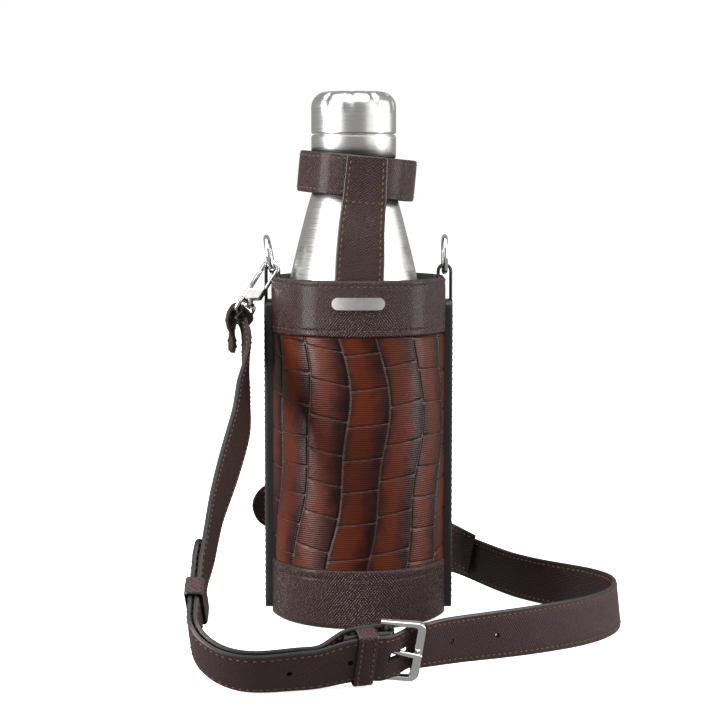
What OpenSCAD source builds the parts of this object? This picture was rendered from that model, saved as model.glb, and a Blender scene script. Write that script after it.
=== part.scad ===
// Insulated bottle in a leather sleeve carrier with a neck collar, two side rings and a shoulder strap.
// Origin: centre of the sleeve's base, on the surface it stands on. +Z up, the front faces -Y.

/* [Bottle] */
// Height of the closed bottle with its cap
bottle_h = 261.5; // [255:0.5:275]
// Outer radius of the bottle's body
body_r = 36; // [35:0.5:37]
// Radius of the neck just under the mouth collar
neck_r = 19; // [17:0.5:20]
// Radius of the mouth ring and the cap
cap_r = 21.4; // [20.5:0.1:21.8]
// Height of the cap above its seam
cap_h = 21.5; // [18:0.5:24]
// Rounding of the cap's crown
cap_round = 8; // [5:0.5:10]
// Number of shallow flutes round the crown
flutes = 10; // [6:1:14]
// Wall of the outer shell and of the inner flask
steel_wall = 0.8; // [0.6:0.1:1.2]
// Gap between the outer shell and the inner flask
vacuum_gap = 3; // [2:0.5:4]
// Radius of the open mouth
mouth_r = 16.5; // [15:0.5:17]
// Depth that the cap's plug reaches into the mouth
plug_depth = 13; // [9:0.5:16]
// Turns that unscrew the cap
cap_turns = 1.5; // [1:0.5:2]

/* [Sleeve] */
// Outer radius of the stiff sleeve under its leather
sleeve_r = 43.2; // [42.5:0.1:46]
// Height of the sleeve's rim
sleeve_h = 173; // [160:1:180]
// Thickness of the stiff core
core_t = 1.4; // [1.2:0.1:1.8]
// Thickness of the cloth lining
lining_t = 0.8; // [0.6:0.1:1]
// Thickness of the embossed panel leather
panel_t = 1.2; // [1:0.1:1.6]
// Thickness of the plain band leather
band_t = 1.9; // [1.7:0.1:2.4]
// Height of the top band
top_band_h = 28; // [22:1:34]
// Height of the bottom band
base_band_h = 30; // [22:1:36]
// Thickness of the sleeve's floor board
floor_t = 3; // [2:0.5:4]
// Half of the angle that a side seam leaves open between front and back leather
seam_angle = 12; // [10:0.5:14]
// Width and height of the blank nameplate
plate_size = [26, 6]; // [20:1:30]
// Distance of the bottle's axis from the sleeve's axis
bottle_shift = -2.4; // [-2.6:0.1:0]

/* [Side straps and rings] */
// Width of a side strap
side_w = 16; // [12:1:17]
// Thickness of a side strap
side_t = 1.6; // [1.4:0.1:2]
// Width of the narrow loop that holds a ring
loop_w = 5; // [4:0.5:5.5]
// Outer radius of a ring
ring_r = 10.2; // [9:0.1:11]
// Radius of the ring's wire
ring_wire = 1.5; // [1.3:0.1:1.6]
// Radius of the eye of the leather loop
eye_r = 2.4; // [2.3:0.1:2.5]
// Outward lean of the left ring, which the near hook pulls on
ring_lean = 10; // [0:1:12]

/* [Neck collar] */
// Outer radius of the neck collar
collar_r = 29.7; // [29:0.1:31]
// Thickness of the collar's leather
collar_t = 2.8; // [2:0.1:3.2]
// Height of the collar
collar_h = 20.6; // [16:0.5:23]
// Height of the collar's centre
collar_z = 223.6; // [220:0.5:226]
// Sideways tilt of the collar
collar_tilt = 5.4; // [0:0.1:6]
// Width of the neck straps at the collar and at the rim
neck_strap_w = [20, 24]; // [16:1:26]
// Thickness of the neck straps
neck_strap_t = 2; // [1.6:0.1:2.4]
// Length of a neck strap inside the sleeve
neck_strap_in = 20; // [12:1:24]

/* [Shoulder strap] */
// Width of the shoulder strap
strap_w = 23.5; // [20:0.5:24]
// Thickness of the shoulder strap
strap_t = 2.4; // [2:0.1:2.6]
// Gap between strap layers that lie on each other
layer_gap = 0.3; // [0.2:0.05:0.4]
// Radius of the hole row's holes
hole_r = 1.3; // [1:0.1:1.6]
// Width of the keepers along the strap
keeper_w = 9; // [8:0.5:11]
// Thickness of the keepers' leather
keeper_t = 1.1; // [1:0.1:1.4]

/* [Metal fittings] */
// Radius of the wire of a hook's arch
hook_wire = 1.1; // [1:0.05:1.2]
// Height of the arch's top above the hook's foot
hook_h = 23.5; // [23:0.5:25]
// Width, depth and height of the hook's block
block_size = [9.6, 5.2, 7]; // [5:0.1:11]
// Radius of the strap loop's wire
loop_wire = 1.2; // [1.1:0.05:1.3]
// Distance between the bars of the strap loop
loop_drop = 6.5; // [6.4:0.1:7]
// Width of the buckle's outer bar
bar_w = 4; // [3.6:0.1:4.4]
// Width of the buckle's side bars
side_bar = 2.3; // [2:0.1:2.6]
// Thickness of the buckle's bars
bar_t = 3.4; // [3:0.1:3.6]
// Distance from the buckle's pivot to its outer bar
buckle_len = 16; // [15:0.5:17]
// Radius of the buckle's pivot bar
pivot_r = 1.7; // [1.5:0.05:1.8]

/* [Hidden] */
$fn = 96;

// Colours
c_steel = [0.78, 0.77, 0.75];
c_dark = [0.25, 0.18, 0.18];
c_croc = [0.36, 0.18, 0.13];
c_lining = [0.08, 0.07, 0.07];
c_nickel = [0.80, 0.80, 0.79];
c_board = [0.20, 0.17, 0.15];
c_plug = [0.30, 0.30, 0.31];
c_rubber = [0.85, 0.85, 0.82];

// Clearances between bodies, between pieces of one body, and beside the strap in its fittings
side_room = 0.8;
frame_room = 1.2;
move_gap = 0.3;
seat_gap = 0.05;
run_gap = 0.06;

// Levels of the sleeve
inner_r = sleeve_r - core_t - lining_t;
foot_t = 1.2;
bottle_z = foot_t + floor_t + move_gap;
band_low = sleeve_h - top_band_h;

// Levels of the bottle, from its own base
seam_z = bottle_h - cap_h;
ring_low = seam_z - 12;
waist_z = seam_z - 21;
shoulder_z = seam_z - 102;
gasket_t = 1;
gasket_sink = 0.2;

// ------------------------------------------------------------------ vectors and ribbons

function unit(v) = v / norm(v);
function mix(a, b, s) = a * (1 - s) + b * s;

// Catmull-Rom value at s between b and c
function spline(a, b, c, d, s) =
    0.5 * (2 * b + (c - a) * s + (2 * a - 5 * b + 4 * c - d) * s * s + (3 * b - a - 3 * c + d) * s * s * s);

// Smooth route through stations of [place, width direction], with n steps between stations
function smooth(route, n) = [
    for (i = [0 : len(route) - 2]) for (k = [0 : n - 1])
        let (a = route[max(i - 1, 0)], b = route[i], c = route[i + 1],
             d = route[min(i + 2, len(route) - 1)], s = k / n)
        [spline(a[0], b[0], c[0], d[0], s), unit(spline(a[1], b[1], c[1], d[1], s))],
    route[len(route) - 1]
];

// Direction of travel at a station
function heading(route, i) =
    unit(route[min(i + 1, len(route) - 1)][0] - route[max(i - 1, 0)][0]);

// Outward normal of the strap at a station: travel crossed with width direction
function outward(route, i) = unit(cross(heading(route, i), route[i][1]));

// The same route moved outward by a distance
function moved(route, d) =
    [for (i = [0 : len(route) - 1]) [route[i][0] + outward(route, i) * d, route[i][1]]];

// Outline of a strap: a flat bar with bevelled corners, as [across, outward] pairs
function strap_outline(w, t, bevel) = [
    [w / 2 - bevel, t / 2], [w / 2, t / 2 - bevel], [w / 2, bevel - t / 2], [w / 2 - bevel, -t / 2],
    [bevel - w / 2, -t / 2], [-w / 2, bevel - t / 2], [-w / 2, t / 2 - bevel], [bevel - w / 2, t / 2]
];

// One closed solid swept along a route, its width given station by station
module ribbon(route, widths, t) {
    count = len(route);
    points = [
        for (i = [0 : count - 1])
            let (h = heading(route, i), n = outward(route, i), u = cross(n, h))
            for (q = strap_outline(widths[i], t, 0.5)) route[i][0] + u * q[0] + n * q[1]
    ];
    sides = [
        for (i = [0 : count - 2]) for (k = [0 : 7])
            let (a = i * 8 + k, b = i * 8 + (k + 1) % 8)
            each [[a, b, b + 8], [a, b + 8, a + 8]]
    ];
    ends = concat(
        [for (k = [1 : 6]) [0, k + 1, k]],
        [for (k = [1 : 6]) [(count - 1) * 8, (count - 1) * 8 + k, (count - 1) * 8 + k + 1]]
    );
    polyhedron(points, concat(sides, ends), convexity = 12);
}

// Widths of a ribbon that stays even
function even(route, w) = [for (i = route) w];

// ------------------------------------------------------------------ bottle

function curve(points, n) = [
    for (i = [0 : len(points) - 2]) for (k = [0 : n - 1])
        let (a = points[max(i - 1, 0)], d = points[min(i + 2, len(points) - 1)])
        spline(a, points[i], points[i + 1], d, k / n),
    points[len(points) - 1]
];

// Outer shoulder and neck, from the body up to under the mouth ring
shoulder_line = curve([
    [body_r, shoulder_z - 12], [body_r, shoulder_z], [body_r - 1.6, shoulder_z + 18],
    [mix(body_r, neck_r, 0.33), shoulder_z + 38], [mix(body_r, neck_r, 0.72), shoulder_z + 64],
    [neck_r + 0.5, waist_z - 3], [neck_r, waist_z + 3]
], 3);
flask_gap = steel_wall + vacuum_gap;
flask_line = curve([
    [body_r - flask_gap, shoulder_z - 12], [body_r - flask_gap, shoulder_z],
    [body_r - flask_gap - 1.6, shoulder_z + 18],
    [mix(body_r, neck_r, 0.33) - flask_gap + 0.4, shoulder_z + 38],
    [mix(body_r, neck_r, 0.72) - flask_gap + 1.1, shoulder_z + 64],
    [mouth_r - 0.6, waist_z - 3], [mouth_r, waist_z + 8]
], 3);

module on_bottle() {
    translate([bottle_shift, 0, bottle_z]) children();
}

module bottle_shell() {
    inner = [for (p = shoulder_line) [p[0] - steel_wall, p[1]]];
    last = len(inner) - 1;
    color(c_steel) on_bottle() rotate_extrude() polygon(concat(
        [[body_r - 2.5, 1.2], [body_r - 1, 1.2], [body_r - 0.3, 1.6], [body_r, 2.6]],
        shoulder_line,
        [[neck_r + 0.4, ring_low - 1.4], [cap_r - 0.5, ring_low], [cap_r, ring_low + 0.6],
         [cap_r, seam_z - 1.3], [cap_r - 0.5, seam_z - 0.8], [cap_r - 0.5, seam_z - 0.3],
         [mouth_r + steel_wall + 0.2, seam_z - 0.3], [mouth_r + steel_wall + 0.2, ring_low + 2]],
        [for (i = [last : -1 : 0]) inner[i]],
        [[body_r - steel_wall, 3], [body_r - 2.5, 3]]
    ));
}

module bottle_flask() {
    outer = [for (p = flask_line) [p[0] + steel_wall, p[1]]];
    last = len(flask_line) - 1;
    color(c_steel) on_bottle() rotate_extrude() polygon(concat(
        [[0, 7], [body_r - flask_gap - 4, 7], [body_r - flask_gap - 1, 8], [body_r - vacuum_gap, 12]],
        outer,
        [[mouth_r + steel_wall, seam_z - 0.3], [mouth_r, seam_z - 0.3]],
        [for (i = [last : -1 : 0]) flask_line[i]],
        [[body_r - flask_gap, 12], [body_r - flask_gap - 2, 8.8], [body_r - flask_gap - 4, 8], [0, 8]]
    ));
}

module bottle_base() {
    color(c_steel) on_bottle() difference() {
        cylinder(r = body_r - 2.5 - seat_gap, h = 3);
        translate([0, 0, -1]) cylinder(r = body_r - 7, h = 2.2);
    }
}

// ------------------------------------------------------------------ cap

module cap_gasket() {
    color(c_rubber) on_bottle() translate([0, 0, seam_z - gasket_sink]) difference() {
        cylinder(r = mouth_r + 3.4, h = gasket_t);
        translate([0, 0, -1]) cylinder(r = mouth_r - 2.4, h = gasket_t + 2);
    }
}

module cap_shell() {
    top = cap_h - 0.2;
    color(c_steel) on_bottle() translate([0, 0, seam_z]) difference() {
        rotate_extrude() polygon(concat(
            [[0, gasket_t + 0.2], [mouth_r + 3.8, gasket_t + 0.2], [mouth_r + 3.8, 0.2]],
            [[cap_r - 0.5, 0.2], [cap_r, 0.7]],
            [for (a = [0 : 9 : 90])
                [cap_r - cap_round + cap_round * cos(a), top - cap_round + cap_round * sin(a)]],
            [[0, top]]
        ));
        translate([0, 0, gasket_t - 0.8]) cylinder(r = cap_r - 3, h = top - 6);
        for (i = [0 : flutes - 1]) rotate([0, 0, 360 / flutes * (i + 0.3)])
            translate([cap_r - 1.2, 0, top + 0.6]) rotate([0, 38, 0])
                cylinder(r = 2.6, h = 9, center = true, $fn = 24);
    }
}

module cap_plug() {
    color(c_plug) on_bottle() translate([0, 0, seam_z]) rotate_extrude() polygon([
        [0, -plug_depth + 3], [mouth_r - 4, -plug_depth + 3], [mouth_r - 4, -plug_depth],
        [mouth_r - 2.4 - move_gap, -plug_depth],
        [mouth_r - 2.4 - move_gap, gasket_t - gasket_sink + seat_gap],
        [mouth_r + 2, gasket_t - gasket_sink + seat_gap],
        [cap_r - 3 - seat_gap, gasket_t + 0.2 + seat_gap],
        [cap_r - 3 - seat_gap, gasket_t + 6], [0, gasket_t + 6]
    ]);
}

// ------------------------------------------------------------------ sleeve

// A wall of a tube between two radii and two heights
module tube(r_in, r_out, low, high) {
    translate([0, 0, low]) difference() {
        cylinder(r = r_out, h = high - low);
        translate([0, 0, -1]) cylinder(r = r_in, h = high - low + 2);
    }
}

// The part of a tube that faces the front (turn 0) or the back (turn 180)
module half_tube(r_in, r_out, low, high, turn) {
    rotate([0, 0, turn + 180 + seam_angle]) rotate_extrude(angle = 180 - 2 * seam_angle)
        translate([r_in, low]) square([r_out - r_in, high - low]);
}

// Place of the eye of a side strap's loop, and how low a ring hangs in it
ring_sag = 0.2;
eye_x = sleeve_r + 0.5;
eye_z = sleeve_h + 0.7 + move_gap + ring_wire;

module notched() {
    difference() {
        children();
        for (side = [-1, 1])
            translate([side * eye_x - 8, -ring_r * 0.62, eye_z - ring_wire - ring_sag - 2 * move_gap])
                cube([16, ring_r * 1.24, 20]);
    }
}

module sleeve_core() {
    color(c_board) notched() union() {
        tube(sleeve_r - core_t, sleeve_r, foot_t + seat_gap, sleeve_h - 2);
        translate([0, 0, foot_t + seat_gap]) cylinder(r = sleeve_r - core_t / 2, h = floor_t - lining_t);
    }
}

module sleeve_lining() {
    color(c_lining) notched() union() {
        floor_z = foot_t + floor_t - lining_t + 2 * seat_gap;
        tube(inner_r, sleeve_r - core_t - seat_gap, floor_z, sleeve_h - 0.4);
        translate([0, 0, floor_z]) cylinder(r = inner_r + lining_t / 2, h = lining_t - 2 * seat_gap);
    }
}

module sleeve_foot() {
    color(c_dark) rotate_extrude() polygon([
        [0, 0], [sleeve_r - 1.6, 0], [sleeve_r - 0.6, 0.35], [sleeve_r, foot_t], [0, foot_t]
    ]);
}

// Leather band round half of the sleeve, with a rolled edge
module band_half(low, high, turn) {
    roll = 0.5;
    rotate([0, 0, turn + 180 + seam_angle]) rotate_extrude(angle = 180 - 2 * seam_angle) polygon([
        [sleeve_r + seat_gap, low], [sleeve_r + band_t - roll, low], [sleeve_r + band_t, low + roll],
        [sleeve_r + band_t, high - roll], [sleeve_r + band_t - roll, high], [sleeve_r + seat_gap, high]
    ]);
}

module top_band_front() { color(c_dark) band_half(band_low, sleeve_h, 0); }
module top_band_back() { color(c_dark) band_half(band_low, sleeve_h, 180); }

module panel(turn) {
    half_tube(sleeve_r + seat_gap, sleeve_r + panel_t, base_band_h + seat_gap, band_low - seat_gap, turn);
}

module panel_front() { color(c_croc) panel(0); }
module panel_back() { color(c_croc) panel(180); }

module base_band_front() { color(c_dark) band_half(foot_t + seat_gap, base_band_h, 0); }
module base_band_back() { color(c_dark) band_half(foot_t + seat_gap, base_band_h, 180); }

// Side strap: a padded strip up the side seam, then a narrow loop over the rim that holds a ring
module side_strap(side) {
    strap_top = eye_z - 14;
    outer_leg = eye_x + eye_r;
    inner_leg = eye_x - eye_r;
    pad = outer_leg + side_t - sleeve_r - seat_gap;
    lining_x = sqrt(pow(inner_r, 2) - pow(loop_w / 2, 2)) - seat_gap;
    mirror([side > 0 ? 0 : 1, 0, 0]) union() {
        translate([sleeve_r + seat_gap, -side_w / 2, 3]) cube([pad, side_w, strap_top - 3]);
        translate([outer_leg, -loop_w / 2, strap_top - 1]) cube([side_t, loop_w, eye_z - strap_top + 1]);
        translate([eye_x, loop_w / 2, eye_z]) rotate([90, 0, 0]) rotate_extrude(angle = 180)
            translate([eye_r, 0]) square([side_t, loop_w]);
        translate([inner_leg - side_t, -loop_w / 2, eye_z - 2.2]) cube([side_t, loop_w, 2.2]);
        translate([lining_x - side_t, -loop_w / 2, eye_z - 14]) cube([side_t, loop_w, 12.5]);
    }
}

module side_strap_left() { color(c_dark) side_strap(-1); }
module side_strap_right() { color(c_dark) side_strap(1); }

module nameplate() {
    outer = sleeve_r + band_t + seat_gap;
    color(c_nickel) intersection() {
        tube(outer, outer + 0.8, band_low + top_band_h * 0.35, sleeve_h);
        translate([0, -outer, band_low + top_band_h * 0.6])
            rotate([90, 0, 0]) linear_extrude(8, center = true)
            hull() for (x = [-1, 1])
                translate([x * (plate_size[0] - plate_size[1]) / 2, 0]) circle(d = plate_size[1], $fn = 48);
    }
}

// ------------------------------------------------------------------ neck collar

module on_collar() {
    translate([-0.8, 0, collar_z]) rotate([0, collar_tilt, 0]) children();
}

module neck_collar() {
    color(c_dark) on_collar() tube(collar_r - collar_t, collar_r, -collar_h / 2, collar_h / 2);
}

// Neck strap: over the collar's edge, down the shoulder and into the sleeve
module neck_strap() {
    reach = sqrt(pow(inner_r - 0.4, 2) - pow(neck_strap_w[1] / 2, 2)) - neck_strap_t / 2;
    top = [1.5, -(collar_r + 0.5 + neck_strap_t / 2), collar_h / 2 + collar_z - 1];
    route = smooth([
        [[4.5, top[1], top[2]], [1, 0, 0.1]],
        [[3, top[1], collar_z - collar_h / 2 - 1], [1, 0, 0.08]],
        [[1.5, mix(top[1], -reach, 0.55), mix(collar_z, sleeve_h, 0.55)], [1, 0, 0.04]],
        [[0.6, -reach + 0.6, sleeve_h + 4], [1, 0, 0]],
        [[0.4, -reach, sleeve_h - 4], [1, 0, 0]],
        [[0.4, -reach, sleeve_h - neck_strap_in], [1, 0, 0]]
    ], 4);
    count = len(route);
    widths = [for (i = [0 : count - 1]) mix(neck_strap_w[0], neck_strap_w[1], min(1, 1.6 * i / (count - 1)))];
    ribbon(route, widths, neck_strap_t);
}

module neck_strap_front() { color(c_dark) neck_strap(); }
module neck_strap_back() { color(c_dark) mirror([0, 1, 0]) neck_strap(); }

// ------------------------------------------------------------------ rings

// A ring standing in its leather loop, leaning over the loop's axis
module ring(side, lean) {
    translate([side * eye_x, 0, eye_z]) rotate([0, lean, 0])
        translate([0, 0, ring_r - ring_wire - ring_sag]) rotate([0, 90, 0])
            rotate_extrude($fn = 64) translate([ring_r - ring_wire, 0]) circle(r = ring_wire, $fn = 24);
}

module ring_left() { color(c_nickel) ring(-1, -ring_lean); }
module ring_right() { color(c_nickel) ring(1, 0); }

// ------------------------------------------------------------------ snap hooks
// A hook's own frame: Z towards its arch, X across its block, Y along its strap loop's bars

loop_in = strap_w / 2 + 0.6;
post_r = 1.7;

// A round bar between two points that lie along X, Y or Z
module wire_bar(from, to, r) {
    d = to - from;
    translate(from) rotate([0, acos(d[2] / norm(d)), atan2(d[1], d[0])])
        cylinder(r = r, h = norm(d), $fn = 24);
}

// A quarter bend of wire
module wire_bend(at, turns, bend_r, angle, r) {
    translate(at) rotate(turns) rotate_extrude(angle = angle, $fn = 48)
        translate([bend_r, 0]) circle(r = r, $fn = 24);
}

// Level of the strap loop's upper bar, and of its lower bar, which the strap is folded round
loop_top = -loop_wire - 0.5;
loop_low = loop_top - loop_drop;
boss_r = 3.2;

module hook_loop() {
    edge = loop_in + loop_wire;
    bend = 2.2;
    difference() {
        union() {
            for (z = [loop_top, loop_low]) wire_bar([0, -edge + bend, z], [0, edge - bend, z], loop_wire);
            for (y = [-1, 1]) {
                wire_bar([0, y * edge, loop_low + bend], [0, y * edge, loop_top - bend], loop_wire);
                wire_bend([0, y * (edge - bend), loop_top - bend], [90, 0, y * 90], bend, 90, loop_wire);
                wire_bend([0, y * (edge - bend), loop_low + bend], [-90, 0, y * 90], bend, 90, loop_wire);
            }
            translate([0, 0, loop_top - loop_wire]) cylinder(r = boss_r, h = 2 * loop_wire, $fn = 32);
        }
        translate([0, 0, loop_low]) cylinder(r = post_r + run_gap, h = loop_drop + 5, $fn = 32);
    }
}

// Rise of the block from its gate side to its fixed side, and the half distance of the arch's legs
block_slant = 5.6;
arch_x = block_size[0] / 2 - 1.2;
arch_bend = 3;
gate_z = block_size[2] - block_slant / 2 - 1.4;
gate_top = hook_h - 8.2;
pin_r = 0.6;

module hook_body() {
    top = hook_h - hook_wire;
    w = block_size[0] / 2;
    slot = hook_wire + move_gap;
    rise = block_slant / 2;
    difference() {
        rotate([90, 0, 0]) linear_extrude(block_size[1], center = true) polygon([
            [-w, -rise], [w, rise], [w, block_size[2] + rise], [-w, block_size[2] - rise]
        ]);
        translate([-w - 1, -slot, gate_z - hook_wire - 2 * move_gap])
            cube([w - arch_x + hook_wire + 4.2, 2 * slot, 12]);
        translate([0, 0, -block_slant]) cylinder(r = boss_r + 1, h = block_slant, $fn = 32);
    }
    translate([-arch_x, 0, gate_z]) rotate([90, 0, 0])
        cylinder(r = pin_r, h = 2 * slot + 1, center = true, $fn = 24);
    // fixed side, crown and nose of the arch
    wire_bar([arch_x, 0, block_size[2]], [arch_x, 0, top - arch_bend], hook_wire);
    wire_bend([arch_x - arch_bend, 0, top - arch_bend], [90, 0, 0], arch_bend, 90, hook_wire);
    wire_bar([arch_bend - arch_x, 0, top], [arch_x - arch_bend, 0, top], hook_wire);
    wire_bend([arch_bend - arch_x, 0, top - arch_bend], [90, -90, 0], arch_bend, 90, hook_wire);
    wire_bar([-arch_x, 0, gate_top + move_gap], [-arch_x, 0, top - arch_bend], hook_wire);
    // swivel post with its rivet head
    head = 0.8;
    translate([0, 0, loop_top - loop_wire - move_gap - head])
        cylinder(r = post_r, h = loop_wire - loop_top + move_gap + head + 0.5, $fn = 32);
    translate([0, 0, loop_top - loop_wire - move_gap - head]) cylinder(r = post_r + 0.9, h = head, $fn = 32);
}

module hook_gate() {
    translate([-arch_x, 0, gate_z]) difference() {
        union() {
            cylinder(r = hook_wire, h = gate_top - gate_z, $fn = 24);
            rotate([90, 0, 0]) cylinder(r = hook_wire + 0.2, h = 2 * hook_wire, center = true, $fn = 24);
        }
        rotate([90, 0, 0]) cylinder(r = pin_r + run_gap, h = 8, center = true, $fn = 24);
    }
}

// Hook on the left ring: foot, and turns from its own frame
near_foot = [-54.6, -7.4, 161.1];
near_turn = [-17.7, 28.6, -18.9];
// Hook on the strap's far end
far_foot = [-3, 80, 17.5];
far_turn = [-105, 0, 95];

module on_hook(foot, turn) {
    translate(foot) rotate(turn) children();
}

module hook_near_body() { color(c_nickel) on_hook(near_foot, near_turn) hook_body(); }
module hook_near_gate() { color(c_nickel) on_hook(near_foot, near_turn) hook_gate(); }
module hook_near_loop() { color(c_nickel) on_hook(near_foot, near_turn) hook_loop(); }
module hook_far_body() { color(c_nickel) on_hook(far_foot, far_turn) hook_body(); }
module hook_far_gate() { color(c_nickel) on_hook(far_foot, far_turn) hook_gate(); }
module hook_far_loop() { color(c_nickel) on_hook(far_foot, far_turn) hook_loop(); }

// ------------------------------------------------------------------ shoulder strap

// Axes of the near hook's own frame, and the centre of its lower bar
function turned(v, t) =
    let (a = [v[0], v[1] * cos(t[0]) - v[2] * sin(t[0]), v[1] * sin(t[0]) + v[2] * cos(t[0])],
         b = [a[0] * cos(t[1]) + a[2] * sin(t[1]), a[1], a[2] * cos(t[1]) - a[0] * sin(t[1])])
    [b[0] * cos(t[2]) - b[1] * sin(t[2]), b[0] * sin(t[2]) + b[1] * cos(t[2]), b[2]];

bar_drop = -loop_low;

// Half turn of strap round a bar: centre, start direction, middle direction, width direction
function wrap(centre, r, from, over, u, n) = [
    for (k = [0 : n]) [centre + r * (from * cos(180 * k / n) + over * sin(180 * k / n)), u]
];

near_x = turned([1, 0, 0], near_turn);
near_u = -turned([0, 1, 0], near_turn);
near_a = turned([0, 0, 1], near_turn);
near_bar = near_foot - near_a * bar_drop;
far_x = turned([1, 0, 0], far_turn);
far_u = -turned([0, 1, 0], far_turn);
far_a = turned([0, 0, 1], far_turn);
far_bar = far_foot - far_a * bar_drop;
wrap_r = loop_wire + 0.25 + strap_t / 2;

// Stations where both straps lie on each other, from the sliding keeper to near the buckle:
// the middle between the two layers, and the direction of the strap's width
stack = smooth([
    [[-71.6, -137, 38.5], [-0.02, -0.72, 0.69]],
    [[-72.2, -148.5, 26.5], [-0.02, -0.68, 0.73]],
    [[-70.5, -154.5, 21.2], [0, -0.64, 0.77]],
    [[-66.3, -159, 16.9], [0, -0.62, 0.79]],
    [[-59.6, -163.2, 13.5], [0, -0.6, 0.8]],
    [[-50.7, -166.2, 11.6], [0, -0.58, 0.81]],
    [[-39, -166, 11.2], [0.02, -0.57, 0.82]],
    [[-17.3, -159.6, 11.6], [0.1, -0.5, 0.86]]
], 2);
layer_step = (strap_t + layer_gap) / 2;

// Buckle: middles of its outer bar and of its pivot, and its axes
buckle_f = unit([0.96, 0.1, -0.1]);
buckle_u = unit(cross(cross(buckle_f, [0.14, -0.33, 0.93]), buckle_f));
buckle_n = cross(buckle_f, buckle_u);
outer_bar = [26.4, -145.2, 14.8];
pivot = outer_bar - buckle_f * buckle_len;
buckle_h = strap_w + 2 * frame_room + 2 * side_bar;

// A place given from the buckle's pivot, along the frame and outward from it
function at_buckle(along, out) = pivot + buckle_f * along + buckle_n * out;
under_bar = -(bar_t / 2 + layer_gap + strap_t / 2);

// The fold round the pivot: its radius, the way it points and its outward direction
pivot_wrap = pivot_r + 0.25 + strap_t / 2;
over_wrap = pivot_wrap + strap_t + layer_gap;
fold_way = unit(cross(cross(buckle_u, [0.95, 0.32, 0]), buckle_u));
fold_out = cross(fold_way, buckle_u);
fold_at = pivot - buckle_u * 0.8;

// Outer layer between the stack and the buckle, and how far the innermost layer lies behind it:
// the keeper's back wall passes between the innermost layer and the end of the fold
lead = [
    [[-5.5, -157.8, 13.1], [0.12, -0.42, 0.9]],
    [[3.8, -155.2, 14.1], [0.14, -0.38, 0.915]],
    [fold_at + fold_out * (over_wrap + 0.1), buckle_u]
];
lead_depth = 4 * layer_step + keeper_t + 1.6;

short_route = concat(
    [
        [near_bar + [-5.2, 1, -19], unit([0.22, -0.9, 0.2])],
        [near_bar + [-4.6, 0.5, -11], unit([0.12, -0.9, 0.2])],
        [near_bar - near_x * 2 - near_a * 5, near_u]
    ],
    wrap(near_bar, wrap_r, -near_x, near_a, near_u, 6),
    [[near_bar + near_x * 2.3 - near_a * 4, near_u]],
    smooth([
        [near_bar + [1.2, -3.4, -9], [0.1, -0.87, 0.45]],
        [[-55.7, -22, 137.5], [0.19, -0.8, 0.57]],
        [[-55, -33, 127], [0, -0.74, 0.67]],
        [[-55.9, -45, 117], [-0.18, -0.68, 0.71]],
        [[-56.6, -58, 105], [-0.26, -0.65, 0.72]],
        [[-61.3, -78, 87], [-0.25, -0.63, 0.74]],
        [[-65.7, -98, 71], [-0.14, -0.64, 0.76]],
        [[-67.8, -117, 56.5], [-0.1, -0.66, 0.75]],
        [[-69.6, -128, 47.6], [-0.05, -0.7, 0.71]]
    ], 2),
    moved(stack, -layer_step),
    [moved(lead, 0.6 - lead_depth)[0], moved(lead, -lead_depth)[1]],
    wrap(fold_at, pivot_wrap, -fold_out, fold_way, buckle_u, 6),
    [for (k = [1, 0]) moved(lead, -2 * layer_step)[k]]
);

// Slots that let the prong through the fold round the pivot and through the layer over it
prong_r = 1.25;
slot_w = 2 * prong_r + 1.6;

module strap_short() {
    color(c_dark) difference() {
        ribbon(short_route, even(short_route, strap_w), strap_t);
        on_buckle(pivot) translate([-3.8, -slot_w / 2, -4.2]) cube([11, slot_w, 10.4]);
    }
}

long_route = concat(
    smooth([
        [[-71, -118, 57.5], [-0.04, -0.67, 0.74]],
        [[-72.5, -128, 48.2], [-0.04, -0.7, 0.71]]
    ], 2),
    moved(stack, layer_step),
    smooth([
        lead[0], lead[1], lead[2],
        [at_buckle(8.6, 0.3) - buckle_u * 0.4, buckle_u],
        [at_buckle(buckle_len - bar_w * 0.75, under_bar - 0.2) + buckle_u * 0.2, buckle_u],
        [at_buckle(buckle_len + bar_w / 2, under_bar - 0.5) + buckle_u, buckle_u],
        [[37.5, -132.8, 16.2], [0.1, -0.25, 0.96]],
        [[50.5, -121.5, 15.2], [0.1, -0.18, 0.97]],
        [[76.5, -102.8, 13.8], [0.05, -0.08, 1]],
        [[103, -81, 12.7], [0, 0, 1]],
        [[119.5, -60, 11.9], [-0.04, 0.01, 1]],
        [[127.5, -41, 11.9], [-0.1, 0.01, 1]],
        [[128, -22, 11.9], [-0.1, -0.02, 1]],
        [[118, -4, 11.9], [-0.05, -0.06, 1]],
        [[98, 14, 11.9], [0, 0, 1]],
        [[82, 34, 12], [0, 0, 1]],
        [[68, 58, 13], [-0.03, 0.04, 1]],
        [[53, 77, 15.5], [-0.12, 0.03, 1]],
        [[35, 84, 17.5], [-0.2, 0, 0.97]],
        [[20, 83, 18.6], far_u],
        [far_bar - far_x * wrap_r - far_a * 6, far_u]
    ], 2),
    wrap(far_bar, wrap_r, -far_x, far_a, far_u, 6),
    [
        [far_bar + far_x * 1.7 - far_a * 7, far_u],
        [far_bar + far_x * 1.9 - far_a * 16, far_u]
    ]
);

// Place, travel, width direction and outward normal at a distance along a route
function run(route, s, i = 0) =
    let (d = norm(route[i + 1][0] - route[i][0]))
    (s <= d || i >= len(route) - 2)
        ? [mix(route[i][0], route[i + 1][0], s / d), unit(route[i + 1][0] - route[i][0]), route[i][1]]
        : run(route, s - d, i + 1);

// Hole row of the long strap: distances of its holes from the strap's tip
hole_pitch = 27.6;
first_hole = 101;

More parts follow.
